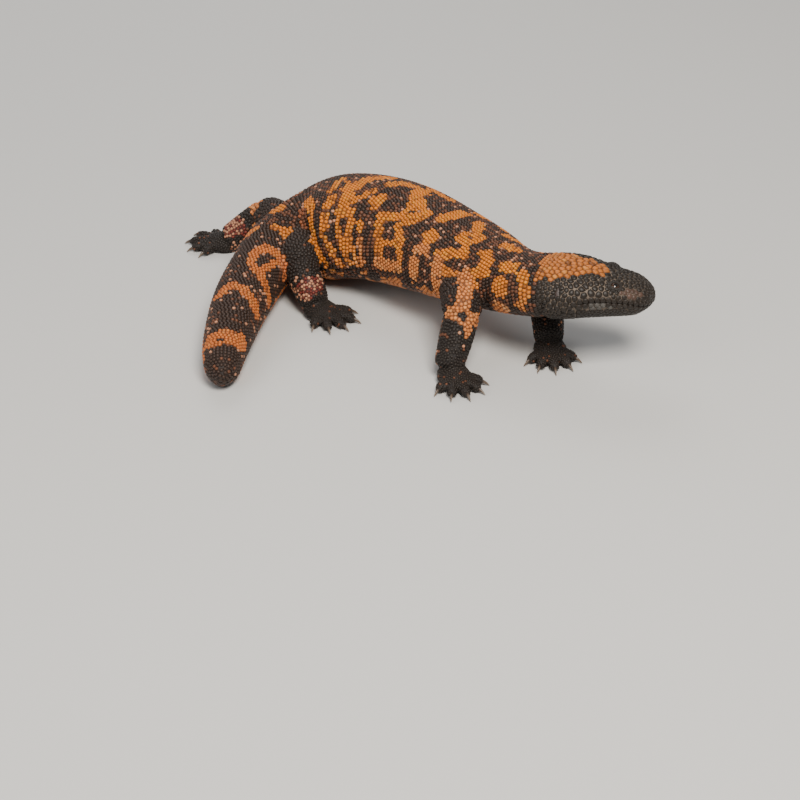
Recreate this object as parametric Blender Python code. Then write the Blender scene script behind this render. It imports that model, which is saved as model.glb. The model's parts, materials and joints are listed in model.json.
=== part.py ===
"""A life-size gila monster, modelled as a still museum model in a walking pose.

The animal is laid out on a floor plan in millimetres: +X to the right, +Y away from the viewer, +Z up.
One axis line runs from the snout to the tip of the tail. Rings of named size round that line make the
head, neck, trunk and tail, which are parted by thin gaps. Each leg is two tapered lengths and a foot
with five toes and five claws. Everything that rests on the floor ends in a small flat at height zero.
Bead-like scales, coarser and fewer than the real ones, are raised on the flesh in staggered rows.
"""

import math
import random

import bmesh
import bpy
import numpy as np
from mathutils import Matrix, Vector

MM = 0.001
GAP = 0.3  # clear space between neighbouring pieces, mm
MIDDLE = (14.0, -48.7)  # middle of the animal's box on the floor plan, mm

# The axis of head, body and tail: place on the plan, height, half width, height above and depth below it, mm.
AXIS_ROWS = (
    (159.5, -112.0, 46.8, 12.5, 7.5, 11.0),  # snout
    (152.0, -112.4, 49.3, 15.0, 8.2, 13.5),
    (137.0, -112.6, 52.3, 18.7, 9.7, 16.5),  # eyes
    (120.0, -110.8, 54.0, 24.0, 12.0, 18.5),
    (104.0, -107.0, 53.0, 26.5, 13.5, 19.5),  # angle of the jaw
    (93.0, -102.5, 51.0, 24.5, 14.2, 20.0),
    (82.0, -95.0, 48.0, 22.5, 16.2, 20.5),  # neck
    (62.0, -72.5, 43.5, 28.5, 21.0, 22.5),  # shoulders
    (34.0, -38.0, 38.5, 35.5, 27.0, 25.5),
    (6.0, -8.0, 34.0, 40.0, 31.5, 27.5),  # widest part of the trunk
    (-18.5, 5.2, 31.5, 41.0, 32.0, 28.5),
    (-38.5, 10.0, 28.8, 36.0, 28.0, 30.0),
    (-50.0, 10.4, 26.5, 28.0, 22.5, 28.0),  # hips
    (-58.0, 7.0, 24.8, 22.5, 20.5, 26.0),
    (-68.0, -2.0, 22.0, 19.5, 18.8, 23.0),
    (-76.5, -24.0, 20.5, 18.3, 18.0, 22.0),  # root of the tail
    (-86.5, -63.0, 18.5, 17.3, 17.0, 20.0),
    (-93.0, -105.0, 16.0, 14.5, 14.0, 17.5),
    (-95.0, -129.0, 13.5, 12.0, 11.5, 15.0),
    (-94.5, -148.0, 11.0, 8.5, 8.5, 12.5),  # tip of the tail
)
SNOUT_ROUND = 13.0  # length over which the snout rounds off
TAIL_ROUND = 15.0
BODY_SQUARE = 2.2  # superellipse exponent: 2 is an ellipse, more is squarer
BODY_LOOK = 12.0  # how far to each side of a ring its facing is measured

# Where the body is parted, mm from the snout along the axis.
HEAD_END = 70.0
NECK_END = 100.0
CHEST_END = 172.0
BELLY_END = 244.0
HIPS_END = 290.0
TAIL_SPLIT = 358.0
# The number of points round each length. A ring lies closer to the next than its points to each other.
POINTS_ROUND = {
    "head": 26,
    "neck": 22,
    "chest": 25,
    "belly": 26,
    "hips": 22,
    "tail_base": 18,
    "tail_end": 16,
    "leg": 12,
}
ROW_SHARE = 0.87  # distance between rings, as a share of the distance between points: equal-sided triangles

EYE_FROM_SNOUT = 26.0
EYE_ROUND = 42.0  # degrees round from the top of the head
EYE_RADIUS = 3.0
EYE_DEEP = 1.5  # how far the eye's middle lies under the skin
LID_RING = 3.3
LID_THICK = 1.1
LID_SHAPE = (1.15, 0.85, 0.9)
NOSTRIL_FROM_SNOUT = 4.5
NOSTRIL_ROUND = 66.0
NOSTRIL_RADIUS = 1.0
EAR_FROM_SNOUT = 53.0
EAR_ROUND = 66.0
EAR_HALF = (1.6, 3.4)  # half width and half height of the ear slit
EAR_DEEP = 2.2
# The line of the mouth seen from the side, from ahead of the snout back to its corner: x and height, mm.
MOUTH_LINE = (
    (172.0, 43.5),
    (158.0, 44.6),
    (150.0, 47.4),
    (141.0, 50.4),
    (131.0, 52.4),
    (121.0, 53.2),
    (113.0, 52.6),
)

# Each leg: the joint inside the body, the elbow or knee, the wrist or ankle,
# and the way the foot points, in degrees on the plan.
LEGS = {
    "front_right": ((46.0, -70.0, 41.0), (46.5, -111.0, 35.0), (39.0, -128.0, 11.0), -68.0),
    "front_left": ((74.0, -62.0, 41.0), (98.0, -66.0, 31.0), (99.0, -96.0, 11.0), -84.0),
    "hind_right": ((-54.0, 0.0, 26.0), (-53.0, -33.0, 25.5), (-44.0, -49.0, 10.0), -48.0),
    "hind_left": ((-60.0, 14.0, 25.0), (-77.0, 41.0, 23.0), (-99.0, 37.0, 9.0), 168.0),
}
UPPER_SIZE = {"front": (14.0, 11.0), "hind": (15.0, 12.0)}  # radius at the joint and at the elbow or knee
LOWER_SIZE = {"front": (10.5, 8.8), "hind": (11.0, 8.8)}  # radius at the elbow or knee and at the wrist
ELBOW_ROUND = 9.0
ELBOW_PAST = 5.4  # how far the upper leg runs on past the elbow or knee
LOWER_ROUND = (5.0, 3.0)
LOWER_PAST = 2.0
PALM = {"front": (11.0, 10.0, 6.0), "hind": (12.5, 10.0, 6.0)}  # half length, half width, half height
PALM_SUNK = 1.5  # how far the palm's round underside is cut off by the floor
TOE_FAN = (-56.0, -27.0, 0.0, 27.0, 56.0)  # degrees from the middle toe, inner toe first
TOE_LONG = {"front": (10.5, 13.0, 14.0, 13.0, 10.5), "hind": (9.5, 12.5, 14.5, 15.0, 11.5)}
TOE_RADIUS = (3.1, 2.7)  # at the knuckle and at the tip
TOE_HEIGHTS = (4.6, 4.4, 2.5)  # of the toe's axis at knuckle, arch and tip
TOE_ROUND = 2.2
TOE_SIDES = 6
CLAW_LONG = 5.6
CLAW_RADIUS = 1.35
CLAW_ROOT = 1.6
CLAW_RISE = 0.5
CLAW_DROP = 2.4
CLAW_SIDES = 6

# The raised scales, mm: the distance from one to the next, the radius where they leave the skin, the height.
TRUNK_SCALES = (18.0, 4.4, 1.4)
TAIL_SCALES = (13.5, 3.5, 1.2)
CROWN_SCALES = (10.5, 3.0, 0.9)
LEG_SCALES = (15.0, 3.0, 0.9)
LIP_SCALES = (7.0, 2.2, 0.6)
SCALE_ROOT = 0.8  # how far the foot of a scale lies under the skin
SCALE_SIDES = 6
SCALE_VARIES = 0.12  # how much the scales' sizes differ, as a share
LOWEST_SCALE = 104.0  # degrees round from the top, beyond which the belly stays smooth
SCALE_CLEAR = 2.0  # how far the foot of a scale keeps from a leg, an eye, an opening or a cut

SKIN_ORANGE = (0.72, 0.27, 0.10)
SKIN_DARK = (0.045, 0.035, 0.035)
HORN = (0.10, 0.075, 0.06)
EYE_BLACK = (0.01, 0.008, 0.008)


def material(name, colour, rough):
    """A Principled material of one colour."""
    made = bpy.data.materials.new(name)
    made.use_nodes = True
    shader = made.node_tree.nodes["Principled BSDF"]
    shader.inputs["Base Color"].default_value = (*colour, 1.0)
    shader.inputs["Roughness"].default_value = rough
    return made


def spline(rows):
    """A natural cubic spline through the rows, by distance along the line, and the line's length."""
    rows = np.asarray(rows, float)
    knots = np.concatenate([[0.0], np.cumsum(np.linalg.norm(np.diff(rows[:, :3], axis=0), axis=1))])
    gaps = np.diff(knots)
    size = len(rows)
    system = np.eye(size)
    right = np.zeros((size, rows.shape[1]))
    slopes = np.diff(rows, axis=0) / gaps[:, None]
    for i in range(1, size - 1):
        system[i, i - 1 : i + 2] = gaps[i - 1], 2 * (gaps[i - 1] + gaps[i]), gaps[i]
        right[i] = 6 * (slopes[i] - slopes[i - 1])
    bends = np.linalg.solve(system, right)

    def at(places):
        places = np.asarray(places, float)
        i = np.clip(np.searchsorted(knots, places, side="right") - 1, 0, size - 2)
        h = gaps[i][:, None]
        a = (knots[i + 1] - places)[:, None]
        b = (places - knots[i])[:, None]
        return (
            bends[i] * a**3 / (6 * h)
            + bends[i + 1] * b**3 / (6 * h)
            + (rows[i] / h - bends[i] * h / 6) * a
            + (rows[i + 1] / h - bends[i + 1] * h / 6) * b
        )

    return at, knots[-1]


class Tube:
    """A tapered, bent length of flesh: a line with a half width, height and depth, and rounded ends."""

    def __init__(self, rows, square=2.0, look=1.0, round_ends=(0.0, 0.0)):
        self.at, self.length = spline(rows)
        self.square = square
        self.look = look
        self.round_ends = round_ends

    def rounding(self, places):
        """The share of full size that each place has, which falls to nothing at a rounded end."""
        share = np.ones(len(places))
        start, end = self.round_ends
        if start:
            share = share * np.sqrt(1 - np.clip((start - places) / start, 0.0, 1.0) ** 2)
        if end:
            share = share * np.sqrt(1 - np.clip((end - self.length + places) / end, 0.0, 1.0) ** 2)
        return share

    def points(self, places, degrees, extra=0.0):
        """Points of the surface: one row for each place, one column for each angle from the top."""
        places = np.asarray(places, float)
        angles = np.radians(np.asarray(degrees, float))
        rows = self.at(places)
        ahead = self.at(places - self.look)[:, :3] - self.at(places + self.look)[:, :3]
        ahead /= np.linalg.norm(ahead, axis=1)[:, None]
        right = np.cross(ahead, [0.0, 0.0, 1.0])
        right /= np.linalg.norm(right, axis=1)[:, None]
        up = np.cross(right, ahead)
        across = np.sign(np.sin(angles)) * np.abs(np.sin(angles)) ** (2 / self.square)
        upward = np.sign(np.cos(angles)) * np.abs(np.cos(angles)) ** (2 / self.square)
        sizes = rows[:, 3:6] * self.rounding(places)[:, None] + extra
        tall = np.where(upward > 0, sizes[:, 1:2], sizes[:, 2:3])
        return (
            rows[:, None, :3]
            + right[:, None, :] * (sizes[:, 0:1] * across)[..., None]
            + up[:, None, :] * (tall * upward)[..., None]
        )

    def skin_point(self, place, degrees):
        """One point of the surface, the way out of it and the way back along it."""
        near = self.points([place - 1.0, place, place + 1.0], [degrees - 2.0, degrees, degrees + 2.0])
        back = near[2, 1] - near[0, 1]
        outward = np.cross(back, near[1, 2] - near[1, 0])
        outward /= np.linalg.norm(outward)
        if outward @ (near[1, 1] - self.at(np.array([place]))[0, :3]) < 0:
            outward = -outward
        return near[1, 1], outward, back / np.linalg.norm(back)

    def ring_places(self, start, end, points_round):
        """Places of the rings between two cuts, closer together where an end rounds off."""
        middle = self.points([(start + end) / 2], np.linspace(0.0, 360.0, 73))[0]
        girth = np.linalg.norm(np.diff(middle, axis=0), axis=1).sum()
        count = max(2, round((end - start) / (girth / points_round * ROW_SHARE)))
        places = np.linspace(start, end, count + 1)
        first, last = self.round_ends
        turns = np.linspace(0.12, 0.5, 4) * math.pi
        if first and start == 0.0:
            places = np.concatenate([first * (1 - np.cos(turns)), places[places > first + 1.0]])
        if last and end == self.length:
            tip = self.length - last * (1 - np.cos(turns[::-1]))
            places = np.concatenate([places[places < self.length - last - 1.0], tip])
        return places

    def solid(self, name, places, points_round, extra=0.0):
        """A closed mesh over rings, each turned by half a step against the one before."""
        step = 360.0 / points_round
        spokes = np.arange(points_round) * step
        even, odd = self.points(places, spokes, extra), self.points(places, spokes + step / 2, extra)
        is_odd = np.arange(len(places)) % 2 == 1
        rings = np.where(is_odd[:, None, None], odd, even)
        tips = self.at(np.array([0.0, self.length]))[:, :3]
        ahead = (tips[0] - tips[1]) / np.linalg.norm(tips[0] - tips[1])
        poles = [rings[0].mean(axis=0), rings[-1].mean(axis=0)]
        if self.round_ends[0] and places[0] < self.round_ends[0]:
            poles[0] = tips[0] + ahead * extra
        if self.round_ends[1] and places[-1] > self.length - self.round_ends[1]:
            poles[1] = tips[1] - ahead * extra
        return closed_mesh(name, rings, poles)


def closed_mesh(name, rings, poles):
    """A closed skin over staggered rings, with a fan of triangles at each end, all on or above the floor."""
    count, sides = rings.shape[:2]
    points = np.concatenate([rings.reshape(-1, 3), poles])
    points[:, 2] = np.maximum(points[:, 2], 0.0)
    points[:, :2] -= MIDDLE
    faces = []
    for ring in range(count - 1):
        for side in range(sides):
            after = (side + 1) % sides
            low, high = ring * sides, (ring + 1) * sides
            if ring % 2 == 0:
                faces.append((low + side, low + after, high + side))
                faces.append((low + after, high + after, high + side))
            else:
                faces.append((low + side, low + after, high + after))
                faces.append((low + side, high + after, high + side))
    first, last = count * sides, count * sides + 1
    for side in range(sides):
        after = (side + 1) % sides
        faces.append((first, after, side))
        faces.append((last, (count - 1) * sides + side, (count - 1) * sides + after))
    mesh = bpy.data.meshes.new(name)
    mesh.from_pydata((points * MM).tolist(), [], faces)
    return new_object(name, mesh)


def new_object(name, mesh):
    """An object in the model's collection, with its faces turned outwards and its sides shaded smooth."""
    shell = bmesh.new()
    shell.from_mesh(mesh)
    bmesh.ops.triangulate(shell, faces=shell.faces)
    bmesh.ops.recalc_face_normals(shell, faces=shell.faces)
    shell.to_mesh(mesh)
    shell.free()
    mesh.shade_smooth()
    made = bpy.data.objects.new(name, mesh)
    MODEL.objects.link(made)
    return made


def put(point):
    """A plan position in mm as a place in the model, in metres."""
    return Vector(((point[0] - MIDDLE[0]) * MM, (point[1] - MIDDLE[1]) * MM, point[2] * MM))


def combine(target, others, operation):
    """Applies one Boolean of the target with the other objects, then removes them."""
    group = bpy.data.collections.new("operands")
    bpy.context.scene.collection.children.link(group)
    for other in others:
        for holder in other.users_collection:
            holder.objects.unlink(other)
        group.objects.link(other)
    change = target.modifiers.new(operation.lower(), "BOOLEAN")
    change.operation = operation
    if operation == "INTERSECT":
        change.object = others[0]
    else:
        change.operand_type = "COLLECTION"
        change.collection = group
    bpy.context.view_layer.update()
    graph = bpy.context.evaluated_depsgraph_get()
    result = bpy.data.meshes.new_from_object(target.evaluated_get(graph))
    target.modifiers.clear()
    target.data = result
    for other in list(group.objects):
        bpy.data.objects.remove(other)
    bpy.data.collections.remove(group)
    keep_largest(target)
    return target


def keep_largest(target):
    """Leaves only the largest closed surface of a mesh."""
    shell = bmesh.new()
    shell.from_mesh(target.data)
    bmesh.ops.remove_doubles(shell, verts=shell.verts, dist=1e-7)
    bmesh.ops.triangulate(shell, faces=shell.faces)
    left = set(shell.faces)
    groups = []
    while left:
        found = [left.pop()]
        for face in found:
            for edge in face.edges:
                for other in edge.link_faces:
                    if other in left:
                        left.discard(other)
                        found.append(other)
        groups.append(found)
    if len(groups) > 1:
        groups.sort(key=lambda faces: sum(face.calc_area() for face in faces))
        spare = [face for faces in groups[:-1] for face in faces]
        bmesh.ops.delete(shell, geom=spare, context="FACES")
    shell.to_mesh(target.data)
    shell.free()
    target.data.shade_smooth()


def duplicate(source, name):
    """A copy of an object with a mesh of its own."""
    made = bpy.data.objects.new(name, source.data.copy())
    MODEL.objects.link(made)
    return made


def ball(name, centre, radius, squash=(1.0, 1.0, 1.0), turn=None, rings=7, segments=12):
    """A sphere or ellipsoid from Blender's primitive, at a plan position."""
    mesh = bpy.data.meshes.new(name)
    shell = bmesh.new()
    bmesh.ops.create_uvsphere(shell, u_segments=segments, v_segments=rings, radius=radius * MM)
    bmesh.ops.scale(shell, vec=squash, verts=shell.verts)
    matrix = Matrix.Translation(put(centre)) @ (turn or Matrix.Identity(4))
    bmesh.ops.transform(shell, matrix=matrix, verts=shell.verts)
    shell.to_mesh(mesh)
    shell.free()
    return new_object(name, mesh)


def facing(outward, upward=(0.0, 0.0, 1.0)):
    """A turn that points +Z along the outward direction, with +Y as near to the upward one as it can be."""
    z = Vector(outward).normalized()
    y = Vector(upward)
    y = (y - z * y.dot(z)).normalized()
    x = y.cross(z)
    return Matrix((x, y, z)).transposed().to_4x4()


def foot_radius(radius, height):
    """The radius of a scale at its foot, under the skin, from the radius where it leaves the skin."""
    return radius * (height + SCALE_ROOT) / height


def raised_scale(tube, place, degrees, radius, height):
    """One scale: a low pyramid on the skin, whose foot follows the curve of the flesh under the skin."""
    point, outward, back = tube.skin_point(place, degrees)
    bend = tube.at(np.array([place]))[0, 3] * MM
    mesh = bpy.data.meshes.new("scale")
    shell = bmesh.new()
    bmesh.ops.create_cone(
        shell,
        cap_ends=True,
        segments=SCALE_SIDES,
        radius1=foot_radius(radius, height) * MM,
        radius2=0.0,
        depth=(height + SCALE_ROOT) * MM,
    )
    for vertex in shell.verts:
        if vertex.co.z < 0.0:
            vertex.co.z = -SCALE_ROOT * MM - vertex.co.x**2 / (2 * bend)
        else:
            vertex.co.z = height * MM
    matrix = Matrix.Translation(put(point)) @ facing(outward, back)
    bmesh.ops.transform(shell, matrix=matrix, verts=shell.verts)
    shell.to_mesh(mesh)
    shell.free()
    return new_object("scale", mesh)


def scale_rows(tube, start, end, sizes, clear):
    """Staggered rows of scales over the top and sides of a tube between two places."""
    step, radius, height = sizes
    foot = foot_radius(radius, height) * (1 + SCALE_VARIES) + SCALE_CLEAR
    room = end - start - 2 * foot
    if room < 0:
        return []
    count = max(1, round(room / (step * ROW_SHARE)))
    made = []
    for row in range(count + 1):
        place = start + foot + room * row / count
        half_arc = tube.points([place], np.linspace(-LOWEST_SCALE, LOWEST_SCALE, 61))[0]
        across = np.linalg.norm(np.diff(half_arc, axis=0), axis=1).sum()
        number = max(1, round(across / step))
        for i in range(number + row % 2):
            degrees = LOWEST_SCALE * ((2 * i + 1 - row % 2) / number - 1)
            size = 1 + RANDOM.uniform(-SCALE_VARIES, SCALE_VARIES)
            point = tube.skin_point(place, degrees)[0]
            if all(gap(point) > foot for gap in clear):
                made.append(raised_scale(tube, place, degrees, radius * size, height * size))
    return made


def away_from_line(start, end, radius):
    """A function: how far points are from the side of a thick line."""
    start, end = np.asarray(start, float), np.asarray(end, float)
    along = end - start

    def gap(points):
        share = np.clip((points - start) @ along / (along @ along), 0.0, 1.0)
        return np.linalg.norm(points - start - share[..., None] * along, axis=-1) - radius

    return gap


def away_from_point(centre, radius):
    """A function: how far points are from the side of a ball."""
    return lambda points: np.linalg.norm(points - centre, axis=-1) - radius


def mouth_height(x):
    """The height of the line of the mouth at an x of the plan."""
    places, heights = zip(*reversed(MOUTH_LINE))
    return np.interp(x, places, heights)


def away_from_mouth(points):
    """How far points of the head are above or below the line of the mouth. Behind its corner all are clear."""
    away = np.abs(points[..., 2] - mouth_height(points[..., 0]))
    return np.where(points[..., 0] > MOUTH_LINE[-1][0] - CROWN_SCALES[0], away - LIP_SCALES[1], np.inf)


def lid_ring(name, centre, outward):
    """The thick rim of both eyelids, a flattened torus round the eye."""
    bpy.ops.mesh.primitive_torus_add(
        major_segments=12,
        minor_segments=5,
        major_radius=LID_RING * MM,
        minor_radius=LID_THICK * MM,
    )
    made = bpy.context.object
    made.name = name
    made.data.transform(
        Matrix.Translation(put(centre)) @ facing(outward) @ Matrix.Diagonal((*LID_SHAPE, 1.0))
    )
    for holder in made.users_collection:
        holder.objects.unlink(made)
    MODEL.objects.link(made)
    return made


def mouth_prism(name, grow):
    """The block that belongs to the lower jaw: all below the line of the mouth and ahead of its corner."""
    outline = [(x, z + grow) for x, z in MOUTH_LINE]
    outline[-1] = (outline[-1][0] - grow, outline[-1][1])
    outline += [(outline[-1][0], 0.0), (outline[0][0], 0.0)]
    middle = AXIS_ROWS[0][1]
    count = len(outline)
    points = [put((x, middle + across, z)) for across in (-60.0, 60.0) for x, z in outline]
    faces = [tuple(range(count)), tuple(range(2 * count - 1, count - 1, -1))]
    for i in range(count):
        after = (i + 1) % count
        faces.append((after, i, count + i, count + after))
    mesh = bpy.data.meshes.new(name)
    mesh.from_pydata(points, [], faces)
    return new_object(name, mesh)


def lip_scales(sign, below):
    """The row of scales along one lip, on the given side of the head, above or below the mouth's line."""
    step, radius, height = LIP_SCALES
    away = foot_radius(radius, height) * 0.5 + GAP
    made = []
    for place in np.arange(SNOUT_ROUND, EAR_FROM_SNOUT, step):
        for degrees in range(50, 140):
            point, _, _ = BODY.skin_point(place, sign * degrees)
            drop = mouth_height(point[0]) - point[2]
            if drop > (away if below else -away):
                break
        if point[0] > MOUTH_LINE[-1][0] + foot_radius(radius, height):
            made.append(raised_scale(BODY, place, sign * degrees, radius, height))
    return made


def make_head():
    """Head, lower jaw, eyes and ear drums."""
    lids = []
    holes = [mouth_prism("jaw_hole", GAP)]
    extras = []
    clear = [away_from_mouth]
    for side, sign in (("right", 1), ("left", -1)):
        skin, out, _ = BODY.skin_point(EYE_FROM_SNOUT, sign * EYE_ROUND)
        eye = skin - out * EYE_DEEP
        clear.append(away_from_point(skin, LID_RING))
        lids.append(lid_ring("lid_" + side, skin, out))
        extras.append(ball("eye_" + side, eye, EYE_RADIUS))
        holes.append(ball("socket_" + side, eye, EYE_RADIUS + GAP))
        nostril, _, _ = BODY.skin_point(NOSTRIL_FROM_SNOUT, sign * NOSTRIL_ROUND)
        clear.append(away_from_point(nostril, 0.0))
        holes.append(ball("nostril_" + side, nostril, NOSTRIL_RADIUS, rings=5, segments=8))
        ear, out, _ = BODY.skin_point(EAR_FROM_SNOUT, sign * EAR_ROUND)
        clear.append(away_from_point(ear, EAR_HALF[1] * 0.5))
        shape = (EAR_HALF[0], EAR_HALF[1], EAR_DEEP)
        holes.append(ball("ear_pit_" + side, ear, 1.0, shape, facing(out), 6, 10))
        thin = (EAR_HALF[0] * 0.62, EAR_HALF[1] * 0.7, 0.5)
        extras.append(ball("ear_" + side, ear - out * EAR_DEEP * 0.55, 1.0, thin, facing(out), 6, 10))
    around = POINTS_ROUND["head"]
    places = BODY.ring_places(0.0, HEAD_END - GAP / 2, around)
    whole = BODY.solid("head", places, around)
    jaw = duplicate(whole, "lower_jaw")
    combine(jaw, lip_scales(1, True) + lip_scales(-1, True), "UNION")
    combine(jaw, [mouth_prism("jaw_block", 0.0)], "INTERSECT")
    crown = scale_rows(BODY, SNOUT_ROUND * 0.5, HEAD_END - GAP / 2, CROWN_SCALES, clear)
    combine(whole, lids + crown + lip_scales(1, False) + lip_scales(-1, False), "UNION")
    combine(whole, holes, "DIFFERENCE")
    return [whole, jaw], extras


def make_trunk():
    """Neck, chest, belly, hips and tail, and slightly larger plain copies of them that cut the legs off."""
    cuts = (HEAD_END, NECK_END, CHEST_END, BELLY_END, HIPS_END, TAIL_SPLIT, BODY.length)
    names = ("neck", "chest", "belly", "hips", "tail_base", "tail_end")
    clear = []
    for name, (joint, elbow, wrist, _) in LEGS.items():
        kind = name.split("_")[0]
        bare = (np.asarray(joint) + np.asarray(elbow)) / 2
        clear.append(away_from_line(bare, elbow, UPPER_SIZE[kind][0]))
        clear.append(away_from_line(elbow, wrist, LOWER_SIZE[kind][0]))
    made = []
    cutters = []
    for name, start, end in zip(names, cuts[:-1], cuts[1:]):
        around = POINTS_ROUND[name]
        last = end if end == BODY.length else end - GAP / 2
        places = BODY.ring_places(start + GAP / 2, last, around)
        length = BODY.solid(name, places, around)
        sizes = TAIL_SCALES if name.startswith("tail") else TRUNK_SCALES
        combine(length, scale_rows(BODY, start, last, sizes, clear), "UNION")
        made.append(length)
        if end < BODY.length:
            longer = places.copy()
            longer[0] -= GAP
            longer[-1] += GAP
            cutters.append(BODY.solid(name + "_cutter", longer, around, GAP))
    return made, cutters


def limb(start, end, radii, round_ends, bulge):
    """A straight tapered tube, swollen a little in its middle."""
    middle = (start + end) / 2
    mean = (radii[0] + radii[1]) / 2 * bulge
    rows = [(*p, r, r, r) for p, r in ((start, radii[0]), (middle, mean), (end, radii[1]))]
    return Tube(rows, round_ends=round_ends)


def toe_line(kind, root, heading, index, mirror):
    """Knuckle, arch and tip of one toe, with the way it points."""
    turn = math.radians(heading + mirror * TOE_FAN[index])
    ahead = np.array([math.cos(turn), math.sin(turn), 0.0])
    long = TOE_LONG[kind][index]
    reach = PALM[kind][0] * 0.62
    spots = [
        root + ahead * (reach + long * share) + np.array([0.0, 0.0, height])
        for share, height in zip((0.0, 0.5, 1.0), TOE_HEIGHTS)
    ]
    return *spots, ahead


def toe(kind, root, heading, index, mirror, extra):
    """One toe, flat on its underside."""
    knuckle, arch, tip, _ = toe_line(kind, root, heading, index, mirror)
    thick, thin = TOE_RADIUS
    rows = [
        (*knuckle, thick, thick, thick + 0.6),
        (*arch, thick, thick * 0.9, thick + 0.6),
        (*tip, thin, thin * 0.8, thin),
    ]
    tube = Tube(rows, round_ends=(0.0, TOE_ROUND))
    last = tube.length - TOE_ROUND * (1 - math.cos(0.25 * math.pi))
    places = np.append(np.linspace(0.0, tube.length - TOE_ROUND, 3), last)
    return tube.solid("toe", places, TOE_SIDES, extra)


def palm(kind, root, heading):
    """The palm or sole, an ellipsoid with a flat underside."""
    half_long, half_wide, half_tall = PALM[kind]
    turn = Matrix.Rotation(math.radians(heading), 4, "Z")
    centre = root + np.array([0.0, 0.0, half_tall - PALM_SUNK])
    made = ball("palm", centre, 1.0, (half_long, half_wide, half_tall), turn, 6, 12)
    for vertex in made.data.vertices:
        vertex.co.z = max(vertex.co.z, 0.0)
    return made


def claw(name, tip, ahead):
    """A curved claw that leaves the toe's tip level and bends down to just above the floor."""
    rows = []
    for step in np.linspace(0.0, 1.0, 4):
        reach = CLAW_LONG * step - CLAW_ROOT
        place = tip + ahead * reach + np.array([0.0, 0.0, CLAW_RISE - CLAW_DROP * step**2])
        size = CLAW_RADIUS * (1 - 0.86 * step)
        rows.append((*place, size * 0.8, size, size))
    tube = Tube(rows)
    return tube.solid(name, np.linspace(0.0, tube.length, 4), CLAW_SIDES)


def make_leg(name, joint, elbow, wrist, heading, cutters):
    """Upper leg, lower leg, foot and claws, each cut back by what it grows from."""
    kind, side = name.split("_")
    mirror = 1 if side == "right" else -1
    joint, elbow, wrist = (np.asarray(p, float) for p in (joint, elbow, wrist))
    ahead = (elbow - joint) / np.linalg.norm(elbow - joint)
    down = (wrist - elbow) / np.linalg.norm(wrist - elbow)
    around = POINTS_ROUND["leg"]
    upper_tube = limb(joint, elbow + ahead * ELBOW_PAST, UPPER_SIZE[kind], (0.0, ELBOW_ROUND), 1.04)
    lower_start, lower_end = elbow - down * LOWER_PAST, wrist + down * LOWER_PAST
    lower_tube = limb(lower_start, lower_end, LOWER_SIZE[kind], LOWER_ROUND, 1.05)
    upper_places = upper_tube.ring_places(0.0, upper_tube.length, around)
    lower_places = lower_tube.ring_places(0.0, lower_tube.length, around)
    off_lower = [away_from_line(lower_start, lower_end, LOWER_SIZE[kind][0])]
    upper = upper_tube.solid(name + "_upper", upper_places, around)
    combine(upper, scale_rows(upper_tube, 0.0, upper_tube.length, LEG_SCALES, off_lower), "UNION")
    combine(upper, [duplicate(cutter, "body_cut") for cutter in cutters], "DIFFERENCE")
    lower = lower_tube.solid(name + "_lower", lower_places, around)
    combine(lower, scale_rows(lower_tube, 0.0, lower_tube.length, LEG_SCALES, []), "UNION")
    upper_cut = upper_tube.solid("upper_cut", upper_places, around, GAP)
    combine(lower, [upper_cut] + [duplicate(cutter, "body_cut") for cutter in cutters], "DIFFERENCE")
    turn = math.radians(heading)
    root = wrist + np.array([math.cos(turn), math.sin(turn), 0.0]) * PALM[kind][0] * 0.55
    root[2] = 0.0
    foot = palm(kind, root, heading)
    foot.name = name + "_foot"
    toes = [toe(kind, root, heading, index, mirror, 0.0) for index in range(5)]
    combine(foot, toes, "UNION")
    lower_cut = lower_tube.solid("lower_cut", lower_places, around, GAP + LEG_SCALES[2] * (1 + SCALE_VARIES))
    combine(foot, [lower_cut], "DIFFERENCE")
    claws = []
    for index in range(5):
        _, _, tip, toe_ahead = toe_line(kind, root, heading, index, mirror)
        nail = claw(f"{name}_claw_{index + 1}", tip, toe_ahead)
        combine(nail, [toe(kind, root, heading, index, mirror, GAP)], "DIFFERENCE")
        claws.append(nail)
    return [upper, lower, foot], claws


def dress(objects, made):
    """Gives objects one material."""
    for target in objects:
        target.data.materials.clear()
        target.data.materials.append(made)


for old in list(bpy.data.objects):
    bpy.data.objects.remove(old)
MODEL = bpy.data.collections.new("gila_monster")
bpy.context.scene.collection.children.link(MODEL)
BODY = Tube(AXIS_ROWS, BODY_SQUARE, BODY_LOOK, (SNOUT_ROUND, TAIL_ROUND))
RANDOM = random.Random(7)

flesh, extras = make_head()
trunk, body_cutters = make_trunk()
flesh += trunk
nails = []
for name, (joint, elbow, wrist, heading) in LEGS.items():
    parts, claws = make_leg(name, joint, elbow, wrist, heading, body_cutters)
    flesh += parts
    nails += claws
for cutter in body_cutters:
    bpy.data.objects.remove(cutter)
dress(flesh, material("skin", SKIN_ORANGE, 0.6))
dress(nails, material("horn", HORN, 0.35))
dress([o for o in extras if o.name.startswith("eye")], material("eye", EYE_BLACK, 0.08))
dress([o for o in extras if o.name.startswith("ear")], material("ear", SKIN_DARK, 0.5))
print("axis length", round(BODY.length, 1), "mm")
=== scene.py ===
# %% [markdown]
# # The looks of a gila monster
# The solids give the animal its size, pose and outline, but a gila monster is known by its skin: thousands
# of separate beads, each with a bony core, each of one colour, packed in rows like maize. A bump texture
# would look right only from afar. So the beads are real geometry here: a smooth skin is made first, beads
# are spread evenly over it, and one function of the place on the body gives skin and beads their colours.

# %% Start with an empty scene and the fixed solids
import itertools
import json
import math

import bpy
import numpy as np
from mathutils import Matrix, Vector
from mathutils.bvhtree import BVHTree
from mathutils.kdtree import KDTree

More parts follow.
